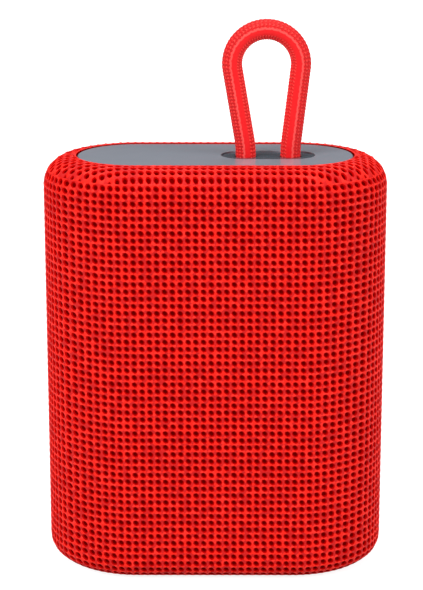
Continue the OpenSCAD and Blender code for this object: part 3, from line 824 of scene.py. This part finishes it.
    def rows(self) -> ndarray:
        """Find where the rows meet, from the lower hem to where the top layer starts.

        Returns:
            Lengths along the section.
        """
        number = np.arange(-self.rows_down, self.rows_up + 1)
        z = self.row_start - self.mid + self.row_pitch * number
        r = np.where(z < 0, self.low_edge_radius, self.edge_radius)
        kept = np.abs(z) - self.wall(r) < r * self.last_row
        z, r = z[kept], r[kept]
        bend = np.arcsin(np.clip((np.abs(z) - self.wall(r)) / r, 0, 1))
        along = np.sign(z) * (np.minimum(np.abs(z), self.wall(r)) + r * bend)
        low = self.low_edge_radius
        first = low * (1 - math.cos(bend[0]))
        inset = np.arange(first + self.row_pitch, self.hem_inset - self.hem_round, self.row_pitch)
        turned = low * np.arccos(np.clip(1 - inset / low, 0, 1))
        under = self.wall(low) + turned + np.maximum(inset - low, 0)
        fold = self.flat_end(low) + self.fold
        return np.array([-self.reach(low), -fold, *(-under[::-1]), *along])

    def yarn(self, shares: tuple[float, float, float], shape: tuple[int, int]) -> ndarray:
        """Draw the shade of each thread by the shares of the three yarns."""
        # Two of the three shades are partly painted highlight and painted shade
        return self.rng.choice(len(shares), size=shape, p=shares)

    def ring(self, grow: ndarray | float) -> list[tuple[ndarray, ndarray]]:
        """Offsets of a hole's eight points, as a leaning rounded diamond.

        Args:
            grow: Size of the hole against the usual one.

        Returns:
            Steps across and along for each point.
        """
        steps = []
        for dx, dy in RING:
            # The upper left and lower right corners of a hole are drawn out
            reach = 1.0 if dx * dy == 0 else self.corners[dx != dy]
            steps.append((
                dx * reach * grow * self.hole_wide / 2, dy * reach * grow * self.hole_tall / 2
            ))
        return steps

    def knit(
        self,
        sheet: Sheet,
        cols: ndarray,
        rows: ndarray,
        is_open: ndarray,
        folded: ndarray,
    ) -> ndarray:
        """Knit a strip of cells in rows and columns.

        Args:
            sheet: Gets the strip.
            cols: Where the columns meet.
            rows: Where the rows meet.
            is_open: Whether each row has holes.
            folded: Whether each row lies in a fold, painted in shadow with the dark red of the hole
                floors.

        Returns:
            Indices of the points round the cells, two steps a cell.
        """
        n_cols, n_rows = len(cols) - 1, len(rows) - 1
        fine = [np.interp(np.arange(2 * len(v) - 1) / 2, np.arange(len(v)), v) for v in (cols, rows)]
        across, along = np.meshgrid(*fine, indexing="ij")
        odd = np.add.outer(np.arange(len(fine[0])) % 2, np.arange(len(fine[1])) % 2)
        index = sheet.add(self.place(across, along, np.where(odd == 1, -0.5 * self.crown, 0.0)))
        shape = (n_cols, n_rows)
        size = 1 + self.spread * self.rng.standard_normal(shape)
        drift = self.jitter * self.rng.standard_normal((2, *shape))
        wide, tall = np.diff(cols)[:, None], np.diff(rows)[None]
        centre_a = (cols[:-1] + cols[1:])[:, None] / 2 + drift[0] * wide
        centre_s = (rows[:-1] + rows[1:])[None] / 2 + drift[1] * tall
        rings = []
        for grow, depth in ((1.0, self.crown), (self.floor_size, self.hole_depth)):
            lift = np.where(is_open[None], -depth, -0.3 * self.crown) * np.ones(shape)
            points = [
                self.place(centre_a + da * wide, centre_s + ds * tall, lift)
                for da, ds in self.ring(size * grow)
            ]
            rings.append(sheet.add(np.stack(points, axis=2)))
        bridge = self.yarn(self.bridge_shares, (2 * n_cols, n_rows + 1))
        rib = self.yarn(self.rib_shares, (n_cols + 1, 2 * n_rows))
        wall, ground = MeshSlot.WALL, MeshSlot.FLOOR
        for i in range(n_cols):
            for j in range(n_rows):
                outer = [index[2 * i + 1 + dx, 2 * j + 1 + dy] for dx, dy in RING]
                rim = rings[0][i, j]
                shades = [
                    bridge[2 * i, j], bridge[2 * i + 1, j], rib[i + 1, 2 * j],
                    rib[i + 1, 2 * j + 1], bridge[2 * i + 1, j + 1], bridge[2 * i, j + 1],
                    rib[i, 2 * j + 1], rib[i, 2 * j],
                ]
                # Rows in a fold are painted in shadow with the hole floors' dark red, and open holes
                # get walls and floors in painted shade
                for k in range(8):
                    k2 = (k + 1) % 8
                    corners = (outer[k], outer[k2], rim[k2], rim[k])
                    sheet.face(corners, ground if folded[j] else shades[k])
                inside = (ground, ground) if folded[j] else (wall, ground) if is_open[j] else (0, 0)
                sheet.pit(rim, rings[1][i, j], *inside)
        return index

    def top_layer(
        self, sheet: Sheet, outer: ndarray, inner: ndarray, ends: ndarray
    ) -> tuple[ndarray, ndarray]:
        """Lay the mesh over the upper edge, in straight rows and columns seen from above.

        Args:
            sheet: Gets the layer.
            outer: Indices along the top of the knitted sides.
            inner: Indices along the hem.
            ends: Lengths along the section of the points on the layer's two ends.

        Returns:
            Indices of those points, left and right.
        """
        limit = self.columns()[-1]
        sides = [
            sheet.add(self.place(np.full(len(ends), at), ends, np.zeros(len(ends))))
            for at in (-limit, limit)
        ]
        placed = np.concatenate(sheet.points)
        loop = [*outer, *sides[1], *inner[::-1], *sides[0][::-1]]
        plan = [Vector(placed[i][:2] / self.pitch) for i in loop]
        ids = list(loop)
        domain = [list(range(len(loop)))]
        low = self.end_radius - abs(placed[outer[len(outer) // 2]][1]) + self.margin
        high = self.hem_inset - self.hem_round - self.margin
        first, last = low - self.over_edge[0], high + self.over_edge[1]

        for i in range(-self.top_cells[0], self.top_cells[0]):
            for j in range(-self.top_cells[1], 1):
                corner = np.array([i, j]) * self.pitch
                inset = self.inset(corner)
                if low < inset < high and corner[1] < -self.margin:
                    across, along = self.from_above(corner)
                    ids.append(int(sheet.add(self.place(across, along, np.zeros(())))))
                    plan.append(Vector(corner / self.pitch))
                centre = corner + self.pitch / 2
                inset = self.inset(centre)
                if not first < inset < last or centre[1] > -self.pitch / 4:
                    continue
                near = min(1.0, self.half_shut + max(0.0, inset - low) / self.whole_after)
                size = near * (1 + self.spread * self.rng.standard_normal())
                rings = []
                for grow, depth in ((1.0, self.crown), (self.floor_size, self.hole_depth)):
                    ring = centre + self.pitch * np.array(self.ring(size * grow))
                    ring = self.keep_inside(ring, low, high)
                    across, along = self.from_above(ring)
                    rings.append(sheet.add(self.place(across, along, np.full(len(ring), -depth))))
                    if grow == 1.0:
                        domain.append(list(range(len(plan), len(plan) + len(ring))))
                        plan += [Vector(v / self.pitch) for v in ring]
                        ids += [int(v) for v in rings[0]]
                # The hole's wall and floor are painted in shade
                sheet.pit(*rings, MeshSlot.WALL, MeshSlot.FLOOR)
        # Only faces of the first outline and of no hole are kept
        made = delaunay_2d_cdt(plan, [], domain, 1, 1e-7, True)
        bridge = self.yarn(self.bridge_shares, self.top_table)
        rib = self.yarn(self.rib_shares, self.top_table)
        for corners, source in zip(made[2], made[5]):
            if list(source) != [0]:
                continue
            u, v = sum((made[0][c] for c in corners), Vector((0, 0))) / len(corners)
            on_rib = abs(u - round(u)) < abs(v - round(v))
            shade = rib[round(u), math.floor(v)] if on_rib else bridge[math.floor(u), round(v)]
            sheet.face([ids[made[3][c][0]] for c in corners], shade)
        return sides[0], sides[1]

    def inset(self, plan: ndarray) -> float:
        """Distance of a point from the outline, seen from above."""
        beyond = max(0.0, abs(float(plan[0])) - self.straight)
        return self.end_radius - math.hypot(beyond, float(plan[1]))

    def keep_inside(self, ring: ndarray, low: float, high: float) -> ndarray:
        """Pull a hole's points back between two insets.

        Args:
            ring: X and Y of each point.
            low: Smallest inset.
            high: Largest inset.

        Returns:
            The points, moved along the outline's normal where they were outside.
        """
        kept = ring.copy()
        for k, point in enumerate(ring):
            flat = np.array([np.clip(point[0], -self.straight, self.straight), 0.0])
            way = (point - flat) / np.linalg.norm(point - flat)
            depth = min(max(self.inset(point), low), high)
            kept[k] = flat + way * (self.end_radius - depth)
            kept[k][1] = min(kept[k][1], -self.margin)
        return kept

    def half(self, name: str) -> Object:
        """Build the front half of the sleeve.

        Args:
            name: Name of the piece.

        Returns:
            A closed mesh with real holes in its outer face.
        """
        sheet = Sheet()
        cols, rows = self.columns(), self.rows()
        number = np.arange(len(rows) - 1)
        # The lowest row, in the fold of the lower hem, is painted in shadow, and the two lowest rows
        # have no holes
        side = self.knit(sheet, cols, rows, number > 1, number < 1)
        top = self.edge_radius
        turn = self.flat_end(top)
        hem_rows = np.array([turn, turn + self.fold, self.reach(top)])
        # The hem's inner row, where it turns down under the plate, is painted in shadow
        hem = self.knit(sheet, cols, hem_rows, np.zeros(2, bool), np.array([False, True]))
        ends = np.linspace(rows[-1], turn, 8)[1:-1]
        left, right = self.top_layer(sheet, side[:, -1], hem[:, 0], ends)

        lining = np.concatenate([rows, ends, hem_rows])
        grid = np.meshgrid(cols, lining, indexing="ij")
        skin = sheet.add(self.place(*grid, np.full(grid[0].shape, -self.thickness)))
        for i in range(len(cols) - 1):
            for j in range(len(lining) - 1):
                corners = (skin[i, j], skin[i, j + 1], skin[i + 1, j + 1], skin[i + 1, j])
                sheet.face(corners, 0, False)
            low_edge, top_edge = side[2 * i : 2 * i + 3, 0], hem[2 * i : 2 * i + 3, -1]
            sheet.face((*low_edge[::-1], skin[i, 0], skin[i + 1, 0]), 0, False)
            sheet.face((*top_edge, skin[i + 1, -1], skin[i, -1]), 0, False)
        for at, edge in ((0, left), (-1, right)):
            outer = [*side[at], *edge, *hem[at]]
            steps = [2] * (len(rows) - 1) + [1] * (len(ends) + 1) + [2] * (len(hem_rows) - 1)
            here = 0
            for j, step in enumerate(steps):
                run = outer[here : here + step + 1]
                corners = (*run, skin[at, j + 1], skin[at, j])
                sheet.face(corners if at == 0 else corners[::-1], 0, False)
                here += step
        materials = [material_of(yarn) for yarn in SLEEVE_YARNS]
        points = np.concatenate(sheet.points)
        made = mesh_object(name, points, sheet.faces, materials, sheet.slots, sheet.smooth)
        outward(made)
        return made

    def cut_window(self, piece: Object) -> None:
        """Cut the opening for the control panel into the back half.

        Args:
            piece: Back half of the sleeve.
        """
        low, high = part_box("control_panel")
        grow = 2 * self.window_gap
        outline = rounded_rectangle(high.x - low.x + grow, high.z - low.z + grow, self.window_corner)
        cutter = prism(
            "window_cutter", outline, self.end_radius * 0.8, self.end_radius * 1.1,
            centre=((low.x + high.x) / 2, (low.z + high.z) / 2),
        )
        cut = piece.modifiers.new("window", "BOOLEAN")
        cut.object = cutter
        cut.operation = "DIFFERENCE"
        cut.solver = "MANIFOLD"
        apply_modifiers(piece)
        bpy.data.objects.remove(cutter)

    def build(self) -> list[Object]:
        """Build both halves and put them on the body.

        Returns:
            The front and the back half.
        """
        front = self.half("sleeve_front")
        back = self.half("sleeve_back")
        back.data.transform(Matrix.Rotation(math.pi, 4, "Z"))
        self.cut_window(back)
        for piece in (front, back):
            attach(piece, BODY)
            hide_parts("mesh_sleeve")
        return [front, back]


# ---- Carry loop ----


@dataclass
class BraidedLoop:
    """Round braided cord that rises from two holes in the cup and turns over in a loop."""

    radius: float = 2.76 * MM
    bend_radius: float = 9.2 * MM
    bend_x: float = 13.66 * MM
    bend_height: float = 24.3 * MM
    leg_x: Point = (8.2 * MM, 20.3 * MM)
    pivot_rise: float = 2.7 * MM
    foot_gap: float = 0.05 * MM
    foot_bend: float = 24 * MM
    strands: int = 16
    lay: float = 0.92 * MM
    relief: float = 0.15 * MM
    around: int = 128
    step: float = 0.135 * MM
    # A strand leads by this share of a lay at the edges of its wale
    slant: float = 1.1
    # Below this rise the braid is painted in shadow, and above this one in highlight
    gap_below: float = 0.2
    crest_above: float = 0.8
    # Angles of the tracer and of the flat wale beside it, from the front of the cord
    line_at: float = 0.13
    line_half: float = 0.10
    line_wave: float = 0.03
    flat_at: float = -0.22
    flat_half: float = 0.34
    flat_rise: float = 0.85
    floor_z: float = field(init=False)
    middle: Vector = field(init=False)

    def __post_init__(self) -> None:
        """Take the foot of the loop and the height of its round top from the frame."""
        self.floor_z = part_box("loop_tails")[1].z
        self.middle = Vector((self.bend_x, 0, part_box("mesh_sleeve")[1].z + self.bend_height))

    def leg(self, x: float, side: int) -> list[Vector]:
        """Centreline of one leg from the cup to the round top.

        Args:
            x: Where the leg leaves the cup.
            side: -1 for the left leg, 1 for the right one.

        Returns:
            Points from the foot up to where the round top starts.
        """
        pivot = Vector((x, 0, self.floor_z + self.pivot_rise + self.foot_gap))
        reach = self.middle - pivot
        lean = math.atan2(reach.x, reach.z) + side * math.asin(self.bend_radius / reach.length)
        way = Vector((math.sin(lean), 0, math.cos(lean)))
        length = math.sqrt(reach.length_squared - self.bend_radius**2)
        cut = self.foot_bend * math.tan(abs(lean) / 2)
        turn = math.copysign(1, lean)
        centre = pivot + Vector((turn * self.foot_bend, 0, -cut))
        bend = [
            centre + self.foot_bend * Vector((-turn * math.cos(a), 0, math.sin(a)))
            for a in np.linspace(0, abs(lean), 8)
        ]
        foot = Vector((x, 0, self.floor_z))
        return [foot, *bend, pivot + way * length]

    def centreline(self) -> ndarray:
        """Follow the whole loop, from the left foot to the right one.

        Returns:
            Evenly spaced points.
        """
        left, right = self.leg(self.leg_x[0], -1), self.leg(self.leg_x[1], 1)
        start, end = left[-1] - self.middle, right[-1] - self.middle
        first = math.atan2(start.z, start.x) % (2 * math.pi)
        last = math.atan2(end.z, end.x)
        top = [
            self.middle + self.bend_radius * Vector((math.cos(a), 0, math.sin(a)))
            for a in np.linspace(first, last, 90)
        ]
        rough = np.array([*left[:-1], *top, *reversed(right[:-1])], float)
        lengths = np.concatenate([[0], np.cumsum(np.linalg.norm(np.diff(rough, axis=0), axis=1))])
        even = np.linspace(0, lengths[-1], int(lengths[-1] / self.step) + 1)
        return np.stack([np.interp(even, lengths, rough[:, k]) for k in range(3)], axis=1)

    def surface(self, angle: ndarray, along: ndarray) -> tuple[ndarray, ndarray]:
        """Height of the braid, and which way the strand on top runs.

        Args:
            angle: Angles round the cord, 0 at its front.
            along: Lengths along the cord.

        Returns:
            Heights above the core, and slot numbers in the order of the cord's materials.
        """
        wale = self.strands * angle / (2 * math.pi)
        across = np.abs(wale % 1.0 - 0.5)
        ridge = 0.5 + 0.5 * np.cos(2 * np.pi * (along / self.lay + self.slant * across))
        rise = ridge * (1 - 0.9 * (2 * across) ** 4)
        slot = np.where(wale % 2 < 1, 0, 1)
        # Low faces in the gaps get a painted shadow, and faces on the crests a painted highlight
        slot = np.where(rise < self.gap_below, 3, np.where(rise > self.crest_above, 2, slot))
        # A flat wale lies beside the tracer, which runs a little outside the middle of the front
        beside = np.exp(-(((angle - self.flat_at) / self.flat_half) ** 6))
        rise = rise * (1 - beside) + self.flat_rise * beside
        slot = np.where(beside > 0.5, 0, slot)
        wave = self.line_wave * np.sin(np.pi * along / self.lay)
        line = np.abs(angle - self.line_at - wave) < self.line_half
        rise = np.where(line, 1.0, rise)
        return self.relief * (rise - 1.0), np.where(line, 4, slot)

    def build(self) -> Object:
        """Returns:
            The cord.
        """
        path = self.centreline()
        count = len(path)
        tangent = np.gradient(path, axis=0)
        tangent /= np.linalg.norm(tangent, axis=1, keepdims=True)
        front = np.array([0.0, -1.0, 0.0])
        outside = np.cross(front, tangent)
        turns = np.linspace(-math.pi, math.pi, self.around, endpoint=False)
        angle, along = np.meshgrid(turns, np.arange(count) * self.step)
        rise, slot = self.surface(angle, along)
        out = np.cos(angle)[..., None] * front + np.sin(angle)[..., None] * outside[:, None, :]
        skin = path[:, None, :] + out * (self.radius + rise)[..., None]
        points = np.concatenate([skin.reshape(-1, 3), path[:1], path[-1:]])
        grid = np.arange(count * self.around).reshape(count, self.around)
        after = np.roll(grid, -1, axis=1)
        quads = np.stack([grid[:-1], after[:-1], after[1:], grid[1:]], axis=-1).reshape(-1, 4)
        left, right = len(points) - 2, len(points) - 1
        ends = [(b, a, left) for a, b in zip(grid[0], after[0])]
        ends += [(a, b, right) for a, b in zip(grid[-1], after[-1])]
        faces = [*quads.tolist(), *ends]
        slots = slot[:-1].ravel().tolist() + [0] * len(ends)
        materials = [material_of(yarn) for yarn in CORD_YARNS]
        cord = mesh_object("carry_cord", points, faces, materials, slots)
        outward(cord)
        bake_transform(cord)
        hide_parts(LOOP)
        return cord


# ---- Plates and recess ----


@dataclass
class Plates:
    """Radius that the mould leaves on the edges of each plate, by its node's name."""

    top_plate: float = 0.12 * MM
    loop_cup: float = 0.2 * MM
    base_plate: float = 0.2 * MM
    foot_pad: float = 0.3 * MM

    def build(self) -> list[Object]:
        """Round the edges of each plate.

        Returns:
            The rounded pieces.
        """
        made = []
        for node, radius in asdict(self).items():
            piece = soften(node, node + "_moulded", radius)
            made.append(piece)
        return made


# ---- Rear controls ----


class Symbol(Enum):
    """Generic marks on the buttons."""

    POWER = "power"
    MINUS = "minus"
    PLAY = "play"
    PLUS = "plus"
    MODE = "mode"


@dataclass
class RearControls:
    """Control panel, five soft buttons with generic marks, and the port cover."""

    cap_edge: float = 0.45 * MM
    crown: float = 0.14 * MM
    mark_height: float = 0.06 * MM
    mark_size: float = 1.25 * MM
    mark_depth: float = 0.3 * MM
    bar: float = 0.3 * MM
    stem_radius: float = 1 * MM
    stem_height: float = 1 * MM
    collar_radius: float = 1.5 * MM
    seat_height: float = 2.5 * MM
    ledge_width: float = 0.5 * MM
    ledge_height: float = 0.6 * MM

    def button(self, node: str, symbol: Symbol) -> list[Object]:
        """Turn one soft cap with its flange and stem, and put its mark on it.

        Args:
            node: CAD node and body of the button.
            symbol: Mark on the cap.

        Returns:
            The cap and the pieces of its mark.
        """
        low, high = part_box(node)
        centre = ((low.x + high.x) / 2, (low.z + high.z) / 2)
        flange = (high.x - low.x) / 2
        cap = flange - self.ledge_width
        face = high.y - self.mark_height - self.crown
        stem, seat = low.y + self.stem_height, low.y + self.seat_height
        profile = [(0, low.y), (self.stem_radius, low.y), (self.stem_radius, stem)]
        profile += [(self.collar_radius, stem), (self.collar_radius, seat), (flange, seat)]
        profile += [(flange, seat + self.ledge_height), (cap, seat + self.ledge_height)]
        rim = cap - self.cap_edge
        for turn in np.linspace(0, math.pi / 2, 7):
            height = face - self.cap_edge * (1 - math.sin(turn))
            profile.append((rim + self.cap_edge * math.cos(turn), height))
        for share in np.linspace(1, 0, 9)[1:]:
            profile.append((rim * share, face + self.crown * (1 - share**2)))
        shade = material_of(Shade.button_rubber)
        piece = lathe(node + "_cap", profile, centre, shade)
        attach(piece, node)
        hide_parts(node)
        made = [piece]
        for number, outline in enumerate(self.mark(symbol)):
            mark = prism(
                f"{node}_mark_{number}", outline, high.y - self.mark_depth, high.y,
                material_of(Shade.socket_nylon), centre,
            )
            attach(mark, node)
            made.append(mark)
        return made

    def mark(self, symbol: Symbol) -> list[list[Point]]:
        """Outlines of a mark, seen from the back of the speaker with X reversed.

        Args:
            symbol: Which mark.

        Returns:
            Closed outlines in X and Z.
        """
        size, half = self.mark_size, self.bar / 2
        across = [(-size, -half), (size, -half), (size, half), (-size, half)]
        upright = [(-half, -size), (half, -size), (half, size), (-half, size)]
        if symbol is Symbol.MINUS:
            return [across]
        if symbol is Symbol.PLUS:
            cross = [(half, half), (half, size), (-half, size), (-half, half)]
            return [across, cross, [(x, -z) for x, z in reversed(cross)]]
        if symbol is Symbol.PLAY:
            return [[(size * 0.7, -size), (size * 0.7, size), (-size, 0)]]
        if symbol is Symbol.POWER:
            return [
                self.arc_band(size, math.radians(125), math.radians(415)),
                [(x, z * 0.55 + size * 0.55) for x, z in upright],
            ]
        dot = rounded_rectangle(self.bar * 2, self.bar * 2, self.bar, 4)
        return [[(x + step * size * 0.8, z) for x, z in dot] for step in (-1, 0, 1)]

    def arc_band(self, radius: float, first: float, last: float) -> list[Point]:
        """Outline of a narrow band along an arc.

        Args:
            radius: Outer radius.
            first: First angle.
            last: Last angle.

        Returns:
            The closed outline.
        """
        turns = np.linspace(first, last, 24)
        outer = [(radius * math.cos(a), radius * math.sin(a)) for a in turns]
        inner = radius - self.bar
        return outer + [(inner * math.cos(a), inner * math.sin(a)) for a in turns[::-1]]

    def build(self) -> list[Object]:
        """Build the panel, its buttons and the cover.

        Returns:
            Every piece of the controls.
        """
        panel = soften("control_panel", "control_panel_moulded", 0.25 * MM)
        cover = soften("port_cover", "port_cover_moulded", 0.25 * MM, body="port_cover")
        made = [panel, cover]
        for symbol in Symbol:
            made += self.button(symbol.value + "_button", symbol)
        return made


# ---- Studio ----


@dataclass
class Studio:
    """Pale floor, soft lights and the camera."""

    camera_height: float = 209.1 * MM
    camera_distance: float = 512.9 * MM
    pitch: float = 14.703
    yaw: float = 0.115
    lens: float = 117.6
    table_glow: float = 0.86
    table_spill: float = 0.1
    wall_glow: float = 0.03
    ceiling_glow: float = 0.85
    floor_half: float = 6.0
    aim_height: float = 60 * MM

    def floor(self) -> Object:
        """Lay a pale light table under the speaker, which also fills its lower side.

        Returns:
            The floor.
        """
        shade = Moulded("opal_acrylic_white", "a4a4a4", "a2a2a2", 0.8, mottle=120 * MM)
        material = shade.material()
        tree = material.node_tree
        shader = tree.nodes["Principled BSDF"]
        shader.inputs["Specular IOR Level"].default_value = 0.0
        shader.inputs["Emission Color"].default_value = WHITE
        # The table shows white, and little of its light is let on to the speaker
        seen = add_node(tree, "ShaderNodeLightPath").outputs["Is Camera Ray"]
        glow = add_node(
            tree, "ShaderNodeMapRange",
            {"To Min": self.table_spill, "To Max": self.table_glow}, {"Value": seen},
        )
        tree.links.new(glow.outputs["Result"], shader.inputs["Emission Strength"])
        corners = [
            (x * self.floor_half, y * self.floor_half, 0)
            for x, y in ((-1, -1), (1, -1), (1, 1), (-1, 1))
        ]
        floor = mesh_object("floor", corners, [(0, 1, 2, 3)], [material])
        return floor

    def lights(self) -> None:
        """Hang the soft boxes and fill the room with pale light."""
        # Name, place and size in metres, and power in watts
        boxes = [
            ("key", (-0.90, -0.80, 0.70), 0.8, 14.5),
            ("fill", (1.10, -0.60, 0.60), 0.8, 11.5),
            ("top", (-0.12, -0.30, 1.25), 0.6, 2.3),
            ("back", (0.20, 1.10, 0.80), 0.8, 9.0),
        ]
        for name, place, size, power in boxes:
            data = bpy.data.lights.new(name, "AREA")
            data.shape = "SQUARE"
            data.size = size
            data.energy = power
            lamp = put(name, data)
            lamp.location = place
            # Only the overhead box is let into the gloss, so that the top plate stays grey
            lamp.visible_glossy = name == "top"
            aim = Vector((0, 0, self.aim_height)) - Vector(place)
            lamp.rotation_euler = aim.to_track_quat("-Z", "Y").to_euler()
        world = bpy.data.worlds.new("room")
        world.use_nodes = True
        tree = world.node_tree
        walls = add_node(tree, "ShaderNodeBackground", {"Color": WHITE, "Strength": 1.0})
        # The ceiling is bright and the walls are dark, so colours stay full at grazing angles
        way = add_node(tree, "ShaderNodeTexCoord").outputs["Generated"]
        parts = add_node(tree, "ShaderNodeSeparateXYZ", {}, {"Vector": way})
        glow = add_node(
            tree, "ShaderNodeMapRange",
            {"From Min": 0.2, "To Min": self.wall_glow, "To Max": self.ceiling_glow},
            {"Value": parts.outputs["Z"]},
        )
        light = add_node(
            tree, "ShaderNodeBackground", {"Color": WHITE}, {"Strength": glow.outputs["Result"]}
        )
        # The far wall is lit white, and sends little of that light back to the speaker
        seen = add_node(tree, "ShaderNodeLightPath").outputs["Is Camera Ray"]
        sides = {"Fac": seen, 1: light.outputs["Background"], 2: walls.outputs["Background"]}
        room = add_node(tree, "ShaderNodeMixShader", {}, sides)
        tree.links.new(room.outputs["Shader"], tree.nodes["World Output"].inputs["Surface"])
        bpy.context.scene.world = world
        bpy.context.scene.view_settings.view_transform = "Standard"

    def camera(self) -> Object:
        """Stand the camera in front of the speaker, looking slightly down.

        Returns:
            The camera.
        """
        data = bpy.data.cameras.new("camera")
        data.lens = self.lens
        data.sensor_width = 36.0
        data.clip_start = 0.01
        camera = put("camera", data)
        camera.location = (0, -self.camera_distance, self.camera_height)
        camera.rotation_euler = (math.radians(90 - self.pitch), 0, math.radians(self.yaw))
        bpy.context.scene.camera = camera
        return camera


def triangles(pieces: Iterable[Object]) -> int:
    """Count the triangles of some pieces."""
    return sum(len(face.vertices) - 2 for piece in pieces for face in piece.data.polygons)


def main() -> None:
    """Build the studio and every piece, and report each one."""
    logging.basicConfig(level=logging.INFO, format="%(name)s: %(message)s")
    studio = Studio()
    studio.camera()
    log.info("dressed %d nodes", dress_nodes())
    cord = BraidedLoop().build()
    log.info("carry cord: %d triangles", triangles([cord]))
    sleeve = MeshSleeve().build()
    for half in sleeve:
        log.info("%s: %d triangles", half.name, triangles([half]))
    for piece in Plates().build():
        log.info("%s: %d triangles", piece.name, triangles([piece]))
    controls = RearControls().build()
    log.info("rear controls: %d pieces, %d triangles", len(controls), triangles(controls))
    studio.floor()
    studio.lights()


if __name__ == "__main__":
    main()
